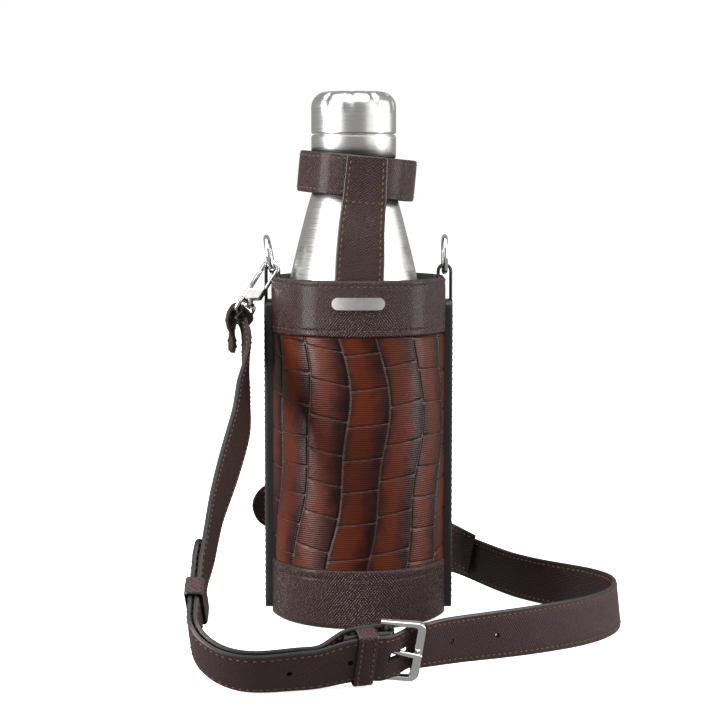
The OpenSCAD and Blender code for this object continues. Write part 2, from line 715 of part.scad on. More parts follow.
module strap_holes() {
    for (k = [0, 1, 3, 4]) {
        spot = run(long_route, first_hole + k * hole_pitch);
        n = unit(cross(spot[1], spot[2]));
        u = cross(n, spot[1]);
        multmatrix([
            [spot[1][0], u[0], n[0], spot[0][0]],
            [spot[1][1], u[1], n[1], spot[0][1]],
            [spot[1][2], u[2], n[2], spot[0][2]]
        ]) cylinder(r = hole_r, h = 3 * strap_t, center = true, $fn = 24);
    }
}

module strap_long() {
    color(c_dark) difference() {
        ribbon(long_route, even(long_route, strap_w), strap_t);
        strap_holes();
        on_buckle(pivot) translate([2.5, -slot_w / 2, -4]) cube([8.5, slot_w, 12]);
    }
}

tab_route = smooth([
    [[62, 61.5, 17], [-0.06, 0.04, 1]],
    [[47, 75.5, 22], [-0.16, 0.04, 1]],
    [[27, 77, 25.5], [-0.22, 0, 1]],
    [[2, 71, 33], [-0.22, 0, 1]],
    [[-24, 61, 40.5], [-0.18, 0, 1]],
    [[-45, 50.5, 46], [-0.14, 0, 1]],
    [[-56.5, 43.5, 48.8], [-0.12, 0, 1]]
], 3);

module strap_guard_tab() {
    count = len(tab_route);
    widths = [for (i = [0 : count - 1])
        let (s = norm(tab_route[count - 1][0] - tab_route[i][0]), half = strap_w / 2)
        s >= half ? strap_w : 2 * sqrt(max(0.06, 1 - pow(1 - s / half, 2))) * half];
    color(c_dark) ribbon(tab_route, widths, strap_t * 0.6);
}

// ------------------------------------------------------------------ buckle and keepers

module on_buckle(at) {
    multmatrix([
        [buckle_f[0], buckle_u[0], buckle_n[0], at[0]],
        [buckle_f[1], buckle_u[1], buckle_n[1], at[1]],
        [buckle_f[2], buckle_u[2], buckle_n[2], at[2]]
    ]) children();
}

module buckle_frame() {
    half = buckle_h / 2;
    back = -pivot_r - 0.8;
    front = buckle_len + bar_w / 2;
    corner = 4;
    color(c_nickel) on_buckle(pivot) union() {
        linear_extrude(bar_t, center = true) difference() {
            union() {
                translate([back, -half]) square([front - corner - back, buckle_h]);
                translate([back, corner - half]) square([front - back, buckle_h - 2 * corner]);
                for (y = [-1, 1])
                    translate([front - corner, y * (half - corner)]) circle(r = corner, $fn = 48);
            }
            translate([back - 1, side_bar - half])
                square([buckle_len - bar_w / 2 - back + 1, buckle_h - 2 * side_bar]);
        }
        rotate([90, 0, 0]) cylinder(r = pivot_r, h = buckle_h - side_bar, center = true, $fn = 32);
    }
}

// Prong: an eye round the pivot and a bar that rests on the outer bar
module buckle_prong() {
    rest = bar_t / 2 + prong_r + move_gap + 0.1;
    reach = buckle_len + bar_w / 2 - 0.4;
    rise = asin(rest / (buckle_len - bar_w / 2));
    color(c_nickel) on_buckle(pivot) difference() {
        union() {
            rotate([90, 0, 0]) cylinder(r = pivot_r + 1.3, h = 2 * prong_r, center = true, $fn = 32);
            rotate([0, -rise, 0]) translate([pivot_r + 0.6, 0, 0]) rotate([0, 90, 0])
                cylinder(r = prong_r, h = reach / cos(rise) - pivot_r - 0.6, $fn = 24);
        }
        rotate([90, 0, 0]) cylinder(r = pivot_r + run_gap, h = 8, center = true, $fn = 32);
    }
}

// A leather band round a stack of strap layers
module keeper(at, along, across, layers, slack) {
    n = unit(cross(along, across));
    inside = [strap_w + 2 * side_room, layers * strap_t + (layers - 1) * layer_gap + slack];
    multmatrix([
        [along[0], across[0], n[0], at[0]],
        [along[1], across[1], n[1], at[1]],
        [along[2], across[2], n[2], at[2]]
    ]) rotate([0, -90, 180]) linear_extrude(keeper_w, center = true) difference() {
        square([inside[1] + 2 * keeper_t, inside[0] + 2 * keeper_t], center = true);
        square([inside[1], inside[0]], center = true);
    }
}

module sliding_keeper() {
    h = heading(stack, 0);
    n = outward(stack, 0);
    color(c_dark) keeper(stack[0][0] + h * 3, h, cross(n, h), 2, 1.6);
}

module fixed_keeper() {
    middle = moved(lead, -layer_step);
    h = heading(middle, 1);
    color(c_dark) keeper(middle[1][0] - h, h, cross(outward(middle, 1), h), 2, 1.4);
}

bottle_shell();
bottle_flask();
bottle_base();
cap_gasket();
cap_shell();
cap_plug();
sleeve_core();
sleeve_lining();
sleeve_foot();
top_band_front();
top_band_back();
panel_front();
panel_back();
base_band_front();
base_band_back();
side_strap_left();
side_strap_right();
nameplate();
neck_collar();
neck_strap_front();
neck_strap_back();
ring_left();
ring_right();
hook_near_body();
hook_near_gate();
hook_near_loop();
hook_far_body();
hook_far_gate();
hook_far_loop();
strap_short();
strap_long();
strap_guard_tab();
buckle_frame();
buckle_prong();
fixed_keeper();
sliding_keeper();
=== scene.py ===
"""Insulated steel bottle in a leather sleeve carrier with a shoulder strap, dressed for rendering."""

import logging
import math
from dataclasses import dataclass, field
from enum import Enum
from typing import Callable, Sequence

import bmesh
import bpy
import numpy as np
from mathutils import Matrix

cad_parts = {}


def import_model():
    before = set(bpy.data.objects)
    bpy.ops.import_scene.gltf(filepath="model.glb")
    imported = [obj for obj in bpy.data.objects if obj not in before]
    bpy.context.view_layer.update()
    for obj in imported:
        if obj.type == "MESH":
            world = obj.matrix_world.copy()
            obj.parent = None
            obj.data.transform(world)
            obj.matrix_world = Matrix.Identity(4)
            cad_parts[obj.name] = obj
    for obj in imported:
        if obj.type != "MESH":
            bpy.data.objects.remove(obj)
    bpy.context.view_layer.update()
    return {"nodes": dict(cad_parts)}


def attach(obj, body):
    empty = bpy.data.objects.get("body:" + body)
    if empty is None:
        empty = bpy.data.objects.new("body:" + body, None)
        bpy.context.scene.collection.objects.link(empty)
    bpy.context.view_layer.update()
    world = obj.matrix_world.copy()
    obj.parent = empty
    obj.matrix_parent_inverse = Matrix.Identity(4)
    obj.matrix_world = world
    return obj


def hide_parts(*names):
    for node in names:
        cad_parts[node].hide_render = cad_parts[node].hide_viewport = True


LOG = logging.getLogger("carrier")
MM = 0.001
Array = np.ndarray


# ------------------------------------------------------------------ vectors and sweeps


def unit(v: Sequence[float] | Array) -> Array:
    """Vector or rows of vectors at length one."""
    v = np.asarray(v, float)
    return v / np.maximum(np.linalg.norm(v, axis=-1, keepdims=True), 1e-12)


def turn_matrix(degrees: Sequence[float]) -> Array:
    """Turn about X, then Y, then Z, as a 3 x 3 matrix.

    Args:
        degrees: The three angles.

    Returns:
        The matrix that turns a column vector.
    """
    a, b, c = np.radians(degrees)
    rx = np.array([[1, 0, 0], [0, math.cos(a), -math.sin(a)], [0, math.sin(a), math.cos(a)]])
    ry = np.array([[math.cos(b), 0, math.sin(b)], [0, 1, 0], [-math.sin(b), 0, math.cos(b)]])
    rz = np.array([[math.cos(c), -math.sin(c), 0], [math.sin(c), math.cos(c), 0], [0, 0, 1]])
    return rz @ ry @ rx


def smooth(stations: Array, steps: int) -> Array:
    """Catmull-Rom values through rows of stations.

    Between stations b and c with neighbours a and d the value at s is half of
    2b + (c - a)s + (2a - 5b + 4c - d)s^2 + (3b - a - 3c + d)s^3.

    Args:
        stations: One row for each station.
        steps: Values made between two stations.

    Returns:
        The rows of the smooth run, with both ends.
    """
    b, c = stations[:-1, None], stations[1:, None]
    a = np.vstack([stations[:1], stations[:-2]])[:, None]
    d = np.vstack([stations[2:], stations[-1:]])[:, None]
    s = (np.arange(steps) / steps)[None, :, None]
    run = 0.5 * (2 * b + (c - a) * s + (2 * a - 5 * b + 4 * c - d) * s**2 + (3 * b - a - 3 * c + d) * s**3)
    return np.vstack([run.reshape(-1, stations.shape[1]), stations[-1:]])


@dataclass
class Track:
    """A route with a frame at each point: travel, width and outward directions, in metres."""

    place: Array
    width: Array
    closed: bool = False
    travel: Array = field(init=False)
    out: Array = field(init=False)
    length: Array = field(init=False)

    def __post_init__(self) -> None:
        """Work out the frames: travel is the difference of the neighbours, outward is travel x width."""
        p = self.place
        if self.closed:
            self.travel = unit(np.roll(p, -1, 0) - np.roll(p, 1, 0))
        else:
            ahead = np.vstack([p[1:], p[-1:]])
            behind = np.vstack([p[:1], p[:-1]])
            self.travel = unit(ahead - behind)
        self.out = unit(np.cross(self.travel, self.width))
        self.width = unit(np.cross(self.out, self.travel))
        self.length = np.concatenate([[0], np.cumsum(np.linalg.norm(np.diff(p, axis=0), axis=1))])

    def at(self, s: Array) -> tuple[Array, Array, Array, Array]:
        """Place, travel, width and outward at distances along the track, by linear mixing."""
        pick = [np.stack([np.interp(s, self.length, rows[:, k]) for k in range(3)], -1)
                for rows in (self.place, self.travel, self.width, self.out)]
        return pick[0], unit(pick[1]), unit(pick[2]), unit(pick[3])

    def moved(self, across: float, outward: float) -> "Track":
        """The same track shifted across and outward, in metres."""
        return Track(self.place + self.width * across + self.out * outward, self.width.copy(), self.closed)

    def total(self) -> float:
        """Length of the whole track in metres."""
        return float(self.length[-1])


# ------------------------------------------------------------------ meshes


@dataclass
class Surface:
    """Vertices, faces, UV corners and face finishes gathered before they become one object."""

    verts: list[Array] = field(default_factory=list)
    faces: list[list[int]] = field(default_factory=list)
    uvs: list[Array] = field(default_factory=list)
    finish: list[int] = field(default_factory=list)
    values: dict[str, list[Array]] = field(default_factory=dict)
    count: int = 0

    def grid(self, points: Array, uv: Array | None = None, around: bool = False, along: bool = False,
             slots: Array | int = 0, ends: bool = False, **values: Array) -> None:
        """Add a grid of points as quads: rows run along the shape, columns run across it.

        Args:
            points: Rows x columns x 3.
            uv: UV of each corner, one row and one column more where the grid is closed.
            around: The columns close on themselves.
            along: The rows close on themselves.
            slots: Finish number of each column of faces, or one for all.
            ends: Close the first and the last row with a face.
            values: Named value at each vertex.
        """
        m, n = points.shape[:2]
        i, j = np.meshgrid(np.arange(m if along else m - 1), np.arange(n if around else n - 1), indexing="ij")
        i, j = i.ravel(), j.ravel()
        i2, j2 = (i + 1) % m, (j + 1) % n
        quads = np.stack([i * n + j, i * n + j2, i2 * n + j2, i2 * n + j], -1) + self.count
        if uv is None:
            uv = np.zeros((m + 1, n + 1, 2))
        corners = np.stack([uv[i, j], uv[i, j + 1], uv[i + 1, j + 1], uv[i + 1, j]], 1)
        self.faces += quads.tolist()
        self.uvs.append(corners.reshape(-1, 2))
        self.finish += (np.broadcast_to(slots, (n,))[j] if np.ndim(slots) else np.full(len(i), slots)).tolist()
        if ends:
            for row in (0, m - 1):
                self.faces.append([self.count + row * n + k for k in range(n)])
                self.uvs.append(np.stack([uv[row, k] for k in range(n)]))
                self.finish.append(int(np.max(slots)))
        self.verts.append(points.reshape(-1, 3))
        for key, value in values.items():
            self.values.setdefault(key, []).append(value.reshape(-1))
        self.count += m * n

    def piece(self, name: str, finishes: Sequence[bpy.types.Material], body: str,
              stands_for: Sequence[str] = (), bevel: float = 0.0) -> bpy.types.Object:
        """Make the object, with its UV map, values, finishes and normals.

        Args:
            name: Name of the piece.
            finishes: Materials in slot order.
            body: CAD body that it rides on.
            stands_for: CAD nodes that it replaces.
            bevel: Width of rounded edges in metres, or none.

        Returns:
            The new object.
        """
        mesh = bpy.data.meshes.new(name)
        mesh.from_pydata(np.vstack(self.verts).tolist(), [], self.faces)
        layer = mesh.uv_layers.new(name="Lay")
        layer.data.foreach_set("uv", np.vstack(self.uvs).astype(np.float32).ravel())
        mesh.polygons.foreach_set("material_index", np.array(self.finish, np.int32))
        mesh.polygons.foreach_set("use_smooth", np.ones(len(mesh.polygons), bool))
        for key, value in self.values.items():
            attribute = mesh.attributes.new(key, "FLOAT", "POINT")
            attribute.data.foreach_set("value", np.concatenate(value).astype(np.float32))
        for finish in finishes:
            mesh.materials.append(finish)
        work = bmesh.new()
        work.from_mesh(mesh)
        bmesh.ops.remove_doubles(work, verts=work.verts, dist=1e-7)
        bmesh.ops.recalc_face_normals(work, faces=work.faces)
        work.to_mesh(mesh)
        work.free()
        mesh.set_sharp_from_angle(angle=math.radians(42))
        mesh.update()
        thing = bpy.data.objects.new(name, mesh)
        bpy.context.scene.collection.objects.link(thing)
        if bevel:
            mod = thing.modifiers.new("Rounding", "BEVEL")
            mod.width, mod.segments, mod.limit_method = bevel, 3, "ANGLE"
            mod.angle_limit = math.radians(35)
        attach(thing, body)
        if stands_for:
            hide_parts(*stands_for)
        LOG.info("%s: %d faces on %s", name, len(mesh.polygons), body)
        return thing


def lathe(surface: Surface, profile: Array, centre: Sequence[float] = (0, 0, 0), steps: int = 128,
          slots: Array | int = 0, turn: Array | None = None, closed: bool = False) -> None:
    """Turn a profile of (radius, height) round a vertical axis: x = r cos t, y = r sin t, z = height.

    Args:
        surface: Where the faces go.
        profile: Rows of radius and height in metres; a radius of nothing closes a pole.
        centre: Place of the axis.
        steps: Faces round the axis.
        slots: Finish number of each step of the profile.
        turn: Matrix that tilts the axis about the centre.
        closed: The profile's end joins its start.
    """
    angle = np.arange(steps) * 2 * math.pi / steps
    r = profile[None, :, 0]
    ring = np.stack([r * np.cos(angle)[:, None], r * np.sin(angle)[:, None],
                     np.broadcast_to(profile[None, :, 1], (steps, len(profile)))], -1)
    if turn is not None:
        ring = ring @ turn.T
    ring = ring + np.asarray(centre)
    step = np.concatenate([[0], np.cumsum(np.linalg.norm(np.diff(profile, axis=0), axis=1))])
    step = np.append(step, step[-1] + 0.001)
    around = np.arange(steps + 1) / steps * 2 * math.pi * float(profile[:, 0].max())
    uv = np.stack(np.meshgrid(around, step, indexing="ij"), -1)
    surface.grid(ring, uv, around=closed, along=True, slots=slots)


def rod(surface: Surface, path: Array, radius: Array | float, sides: int = 16, closed: bool = False,
        slots: int = 0) -> None:
    """Carry a circle along a path: each point adds radius (a cos t + b sin t), a and b across the path."""
    guide = np.zeros_like(path) + np.array([0.31, 0.52, 0.79])
    track = Track(path, guide, closed)
    angle = np.arange(sides) * 2 * math.pi / sides
    r = np.broadcast_to(radius, (len(path),))[:, None, None]
    ring = (track.width[:, None] * np.cos(angle)[None, :, None] + track.out[:, None] * np.sin(angle)[None, :, None]) * r
    surface.grid(track.place[:, None] + ring, around=True, along=closed, ends=not closed, slots=slots)


def arc(centre: Array, start: Array, over: Array, angle: float, steps: int) -> Array:
    """Points of an arc: centre + start cos t + over sin t, for t up to an angle in degrees."""
    t = np.radians(np.linspace(0, angle, steps))[:, None]
    return centre + start * np.cos(t) + over * np.sin(t)


def strap_section(width: float, thick: float, plies: int = 2) -> tuple[Array, Array]:
    """Outline of a strap: two faces with sunk stitch lines, and edges with a rounded bump for each ply.

    Args:
        width: Width in metres.
        thick: Thickness in metres.
        plies: Leather layers seen on the edge.

    Returns:
        The outline as (across, outward) rows, and the finish of each step: face, edge, back.
    """
    half, t = width / 2, thick / 2
    x = np.linspace(-half + 0.0006, half - 0.0006, 25)
    sunk = 0.00016 * np.exp(-((np.abs(x) - (half - 0.0023)) / 0.0006) ** 2)
    crown = t - sunk - 0.00028 * (np.abs(x) / half) ** 6
    phase = np.linspace(0, 1, 6 * plies + 1)[1:-1]
    bulge = half - 0.00022 + 0.00022 * np.abs(np.sin(phase * math.pi * plies)) - 0.0005 * np.abs(2 * phase - 1) ** 6
    edge = (t - 0.0004) * (1 - 2 * phase)
    rows = np.vstack([np.stack([x, crown], -1), np.stack([bulge, edge], -1),
                      np.stack([x[::-1], -crown[::-1]], -1), np.stack([-bulge, -edge], -1)])
    kinds = np.concatenate([np.zeros(len(x) - 1), np.ones(len(edge) + 1), np.full(len(x) - 1, 2), np.ones(len(edge) + 1)])
    return rows, kinds.astype(int)


def sweep_strap(surface: Surface, track: Track, width: Array | float, thick: float, plies: int = 2,
                closed: bool = False) -> None:
    """Carry a strap's section along a track; UV is the distance along and the distance across, in metres."""
    w = np.broadcast_to(width, (len(track.place),))
    rows, kinds = strap_section(float(w.max()), thick, plies)
    scale = (w / w.max())[:, None]
    across, outward = rows[None, :, 0] * scale, np.broadcast_to(rows[None, :, 1], (len(w), len(rows)))
    points = track.place[:, None] + track.width[:, None] * across[..., None] + track.out[:, None] * outward[..., None]
    s = np.append(track.length, track.length[-1] + 0.002)
    a = np.vstack([across, across[:1]])
    a = np.hstack([a, a[:, :1]])
    uv = np.stack([np.broadcast_to(s[:, None], a.shape), a], -1)
    surface.grid(points, uv, around=True, along=closed, slots=kinds, ends=not closed)


def sew(surface: Surface, place: Array, travel: Array, out: Array, long: float = 0.0021, thick: float = 0.00042) -> None:
    """Lay one thread at each place: a short spindle whose ends dip into the leather.

    A thread is rings of five points; ring k lies at -1..1 times half its length, with radius
    thick sqrt(1 - k^2) and its centre sunk by the square of k.

    Args:
        surface: Where the threads go.
        place: Middle of each thread.
        travel: Direction of each thread.
        out: Outward direction at each thread.
        long: Length of a thread.
        thick: Radius of a thread.
    """
    side = unit(np.cross(out, travel))
    k = np.array([-1.0, -0.8, 0.0, 0.8, 1.0])
    r = thick * np.sqrt(np.clip(1.02 - k**2, 0, 1))
    angle = np.arange(5) * 2 * math.pi / 5
    for low in range(5 - 1):
        pair = []
        for q in (low, low + 1):
            centre = place + travel * (k[q] * long / 2) - out * (thick * 0.9 * k[q] ** 4)
            pair.append(centre[:, None] + (side[:, None] * np.cos(angle)[:, None] + out[:, None] * np.sin(angle)[:, None]) * r[q])
        a, b = pair
        n = len(place)
        base = surface.count
        surface.verts += [a.reshape(-1, 3), b.reshape(-1, 3)]
        i, j = np.meshgrid(np.arange(n), np.arange(5), indexing="ij")
        i, j = i.ravel(), j.ravel()
        quads = np.stack([i * 5 + j, i * 5 + (j + 1) % 5, n * 5 + i * 5 + (j + 1) % 5, n * 5 + i * 5 + j], -1) + base
        surface.faces += quads.tolist()
        surface.uvs.append(np.zeros((len(quads) * 4, 2)))
        surface.finish += [0] * len(quads)
        surface.count += 2 * n * 5


def sew_rows(surface: Surface, track: Track, offsets: Sequence[float], lift: float, start: float, end: float,
             pitch: float = 0.0032) -> None:
    """Sew rows along a track at distances across it, on the face at a height above its middle."""
    s = np.arange(start, end, pitch)
    place, travel, width, out = track.at(s)
    for across in offsets:
        sew(surface, place + width * across + out * lift, travel, out * np.sign(lift))


# ------------------------------------------------------------------ finishes


class Face(Enum):
    """Faces of a strap, in the order of their finish slots."""

    GRAIN = 0
    EDGE = 1
    BACK = 2


class Nodes:
    """Small builder of one material's node tree."""

    def __init__(self, name: str) -> None:
        """Start a material with its shader."""
        self.material = bpy.data.materials.new(name)
        self.material.use_nodes = True
        self.tree = self.material.node_tree
        self.shader = self.tree.nodes["Principled BSDF"]
        self.coords = self.tree.nodes.new("ShaderNodeTexCoord")

    def new(self, kind: str, inputs: dict | None = None, **settings: object) -> bpy.types.Node:
        """Add a node, set its properties, and link or set its inputs."""
        node = self.tree.nodes.new(kind)
        for key, value in settings.items():
            setattr(node, key, value)
        for key, value in (inputs or {}).items():
            self.feed(node.inputs[key], value)
        return node

    def feed(self, socket: bpy.types.NodeSocket, value: object) -> None:
        """Link an output to a socket, or set its number."""
        if isinstance(value, bpy.types.NodeSocket):
            self.tree.links.new(value, socket)
        else:
            socket.default_value = value

    def math(self, how: str, a: object, b: object = 0.0) -> bpy.types.NodeSocket:
        """One arithmetic step on two values."""
        return self.new("ShaderNodeMath", {0: a, 1: b}, operation=how).outputs[0]

    def mapping(self, source: bpy.types.NodeSocket, scale: Sequence[float], turn: float = 0.0) -> bpy.types.NodeSocket:
        """Coordinates scaled, and turned in their plane by an angle in degrees."""
        node = self.new("ShaderNodeMapping", {"Vector": source})
        node.inputs["Scale"].default_value = scale
        node.inputs["Rotation"].default_value = (0, 0, math.radians(turn))
        return node.outputs[0]

    def noise(self, source: bpy.types.NodeSocket, scale: float, detail: float = 2.0) -> bpy.types.NodeSocket:
        """Soft noise at a scale."""
        return self.new("ShaderNodeTexNoise", {"Vector": source, "Scale": scale, "Detail": detail}).outputs[0]

    def blend(self, share: object, a: object, b: object, how: str = "MIX") -> bpy.types.NodeSocket:
        """Two colours mixed."""
        node = self.new("ShaderNodeMix", data_type="RGBA", blend_type=how)
        self.feed(node.inputs[0], share)
        self.feed(node.inputs[6], a)
        self.feed(node.inputs[7], b)
        return node.outputs[2]

    def span(self, value: object, low: float, high: float, to_low: float, to_high: float) -> bpy.types.NodeSocket:
        """A value carried from one range to another."""
        return self.new("ShaderNodeMapRange", {0: value, 1: low, 2: high, 3: to_low, 4: to_high}).outputs[0]

    def bump(self, height: object, depth: float, strength: float = 1.0, under: object = None) -> bpy.types.NodeSocket:
        """Normal from a height, on top of another normal."""
        node = self.new("ShaderNodeBump", {"Height": height, "Distance": depth, "Strength": strength})
        if under is not None:
            self.feed(node.inputs["Normal"], under)
        return node.outputs[0]


@dataclass(frozen=True)
class GrainedLeather:
    """Cross-grained leather: two sets of slanted fine ridges under a satin coat."""

    name: str
    colour: tuple[float, float, float]
    light: tuple[float, float, float]
    pitch: float = 0.0011
    depth: float = 0.00016
    rough: float = 0.42
    coat: float = 0.06
    slant: float = 38.0
    shine: float = 0.3

    def make(self) -> bpy.types.Material:
        """Build the material on the piece's own UV map, in metres."""
        n = Nodes(self.name)
        uv = n.coords.outputs["UV"]
        waves = []
        for turn in (self.slant, -self.slant):
            lay = n.mapping(uv, (1000, 1000, 1), turn)
            wave = n.new("ShaderNodeTexWave", {"Vector": lay, "Scale": 0.314 / (self.pitch * 1000), "Distortion": 2.4,
                                               "Detail": 2.0, "Detail Scale": 0.9, "Detail Roughness": 0.6})
            waves.append(wave.outputs["Fac"])
        patch = n.span(n.noise(n.mapping(uv, (1000, 1000, 1)), 0.45, 3.0), 0.4, 0.6, 0.0, 1.0)
        one = n.math("MULTIPLY", waves[0], n.span(patch, 0, 1, 0.35, 1))
        two = n.math("MULTIPLY", waves[1], n.span(patch, 0, 1, 1, 0.35))
        ridges = n.math("MAXIMUM", one, two)
        wear = n.noise(n.mapping(uv, (1000, 1000, 1)), 0.06, 3.0)
        colour = n.blend(n.span(ridges, 0.25, 0.95, 0, 1), (*[c * 0.62 for c in self.colour], 1), (*self.light, 1))
        colour = n.blend(n.span(wear, 0.35, 0.65, 0.0, 0.5), colour, (*self.colour, 1))
        n.feed(n.shader.inputs["Base Color"], colour)
        n.feed(n.shader.inputs["Roughness"], n.span(ridges, 0, 1, self.rough + 0.16, self.rough - 0.06))
        n.shader.inputs["Coat Weight"].default_value = self.coat
        n.shader.inputs["Coat Roughness"].default_value = 0.2
        n.shader.inputs["Specular IOR Level"].default_value = self.shine
        n.feed(n.shader.inputs["Normal"], n.bump(ridges, self.depth, 0.8, n.bump(wear, 0.0004, 0.5)))
        return n.material


@dataclass(frozen=True)
class ScaleLeather:
    """Embossed leather with pale grooves whose raised scales are orange brown, with painted shade darkening each
    scale's right side and its rim beside the grooves.
    """

    name: str
    warm: tuple[float, float, float] = (0.098, 0.0165, 0.0040)
    middle: tuple[float, float, float] = (0.040, 0.0080, 0.0042)
    # Near black: painted shade on each scale's right side and beside its grooves, and also the colour of the fine
    # striations.
    striation_and_shade_dark: tuple[float, float, float] = (0.0040, 0.0011, 0.0008)
    groove: tuple[float, float, float] = (0.12, 0.066, 0.052)

    def make(self) -> bpy.types.Material:
        """Build the material from the piece's values: place in a scale, distance to its groove, its own number."""
        n = Nodes(self.name)
        inside = n.new("ShaderNodeAttribute", attribute_name="inside").outputs["Fac"]
        edge = n.new("ShaderNodeAttribute", attribute_name="edge").outputs["Fac"]
        own = n.new("ShaderNodeAttribute", attribute_name="own").outputs["Fac"]
        uv = n.coords.outputs["UV"]
        lay = n.mapping(uv, (1000, 1000, 1))
        drift = n.math("ADD", inside, n.span(n.noise(lay, 0.12, 3.0), 0.3, 0.7, -0.12, 0.12))
        # Painted light and shade across each scale: orange brown on its left, falling to near black at its right edge,
        # the side turned away from the light.
        ramp = n.new("ShaderNodeValToRGB", {"Fac": drift})
        stops = ramp.color_ramp.elements
        stops[0].position, stops[0].color = 0.0, (*self.middle, 1)
        stops[1].position, stops[1].color = 1.0, (*self.striation_and_shade_dark, 1)
        for place, colour in ((0.2, self.warm), (0.5, self.warm), (0.72, self.middle), (0.9, tuple(c * 1.8 for c in self.striation_and_shade_dark))):
            stop = stops.new(place)
            stop.color = (*colour, 1)
        lines = n.new("ShaderNodeTexWave", {"Vector": lay, "Scale": 0.30, "Distortion": 1.2, "Detail": 2.0,
                                            "Detail Scale": 0.5}, bands_direction="Y").outputs["Fac"]
        colour = n.blend(n.span(own, 0, 1, 0.0, 0.45), ramp.outputs[0], (*[c * 0.75 for c in self.middle], 1))
        colour = n.blend(n.span(lines, 0.0, 0.5, 0.38, 0.0), colour, (*self.striation_and_shade_dark, 1))
        # Painted shade: each scale darkens close to its groove, where its surface slopes down into the crease.
        colour = n.blend(n.span(edge, 0.0004, 0.0013, 0.3, 0.0), colour, (*self.striation_and_shade_dark, 1))
        colour = n.blend(n.span(edge, 0.00008, 0.00030, 0.8, 0.0), colour, (*self.groove, 1))
        n.feed(n.shader.inputs["Base Color"], colour)
        n.feed(n.shader.inputs["Roughness"], n.span(lines, 0, 1, 0.46, 0.30))
        n.shader.inputs["Specular IOR Level"].default_value = 0.15
        n.shader.inputs["Coat Weight"].default_value = 0.09
        n.shader.inputs["Coat Roughness"].default_value = 0.22
        n.feed(n.shader.inputs["Normal"], n.bump(lines, 0.00014, 0.7, n.bump(n.noise(lay, 0.9, 3.0), 0.0001, 0.5)))
        return n.material


@dataclass(frozen=True)
class Brushed:
    """Brushed steel: fine lines round the turned piece, with a slow change of tone."""

    name: str
    colour: tuple[float, float, float] = (0.66, 0.65, 0.63)
    rough: float = 0.26
    stretch: tuple[float, float, float] = (12.0, 12.0, 2600.0)
    metal: float = 1.0

    def make(self) -> bpy.types.Material:
        """Build the material on Object coordinates."""
        n = Nodes(self.name)
        lines = n.noise(n.mapping(n.coords.outputs["Object"], self.stretch), 1.0, 4.0)
        tone = n.noise(n.coords.outputs["Object"], 14.0, 2.0)
        shade = n.blend(n.span(lines, 0.3, 0.7, 0, 0.5), (*self.colour, 1), (*[c * 0.86 for c in self.colour], 1))
        n.feed(n.shader.inputs["Base Color"], n.blend(n.span(tone, 0.3, 0.7, 0, 0.3), shade, (*[c * 0.93 for c in self.colour], 1)))
        n.shader.inputs["Metallic"].default_value = self.metal
        n.feed(n.shader.inputs["Roughness"], n.span(lines, 0.25, 0.75, self.rough - 0.05, self.rough + 0.1))
        n.feed(n.shader.inputs["Normal"], n.bump(lines, 0.000013, 0.5))
        return n.material


@dataclass(frozen=True)
class Plain:
    """A quiet finish with a mottled tone and a fine tooth: edge paint, thread, lining, rubber or moulding."""

    name: str
    colour: tuple[float, float, float]
    rough: float = 0.6
    tooth: float = 1800.0
    depth: float = 0.00006
    contrast: float = 0.7
    sheen: float = 0.0

    def make(self) -> bpy.types.Material:
        """Build the material on Object coordinates."""
        n = Nodes(self.name)
        fine = n.noise(n.coords.outputs["Object"], self.tooth, 2.0)
        slow = n.noise(n.coords.outputs["Object"], 60.0, 3.0)
        shade = n.blend(n.span(slow, 0.3, 0.7, 0, 1), (*[c * self.contrast for c in self.colour], 1), (*self.colour, 1))
        shade = n.blend(n.span(fine, 0.3, 0.7, 0, 0.3), shade, (*[c * self.contrast for c in self.colour], 1))
        n.feed(n.shader.inputs["Base Color"], shade)
        n.feed(n.shader.inputs["Roughness"], n.span(fine, 0.3, 0.7, self.rough - 0.08, self.rough + 0.08))
        n.shader.inputs["Sheen Weight"].default_value = self.sheen
        n.feed(n.shader.inputs["Normal"], n.bump(fine, self.depth, 0.7))
        return n.material


@dataclass(frozen=True)
class Twill:
    """Woven cloth lining: slanted threads crossed by finer ones."""

    name: str
    colour: tuple[float, float, float] = (0.012, 0.011, 0.011)

    def make(self) -> bpy.types.Material:
        """Build the material on Object coordinates."""
        n = Nodes(self.name)
        heights = []
        for turn, scale in ((30, 0.4), (-60, 0.7)):
            lay = n.mapping(n.coords.outputs["Object"], (1000, 1000, 1000), turn)
            heights.append(n.new("ShaderNodeTexWave", {"Vector": lay, "Scale": scale, "Distortion": 0.4},
                                 bands_direction="DIAGONAL").outputs["Fac"])
        weave = n.math("MULTIPLY", heights[0], heights[1])
        n.feed(n.shader.inputs["Base Color"], n.blend(weave, (*self.colour, 1), (*[c * 3.2 for c in self.colour], 1)))
        n.shader.inputs["Roughness"].default_value = 0.85
        n.shader.inputs["Sheen Weight"].default_value = 0.3
        n.feed(n.shader.inputs["Normal"], n.bump(weave, 0.0002, 0.8))
        return n.material


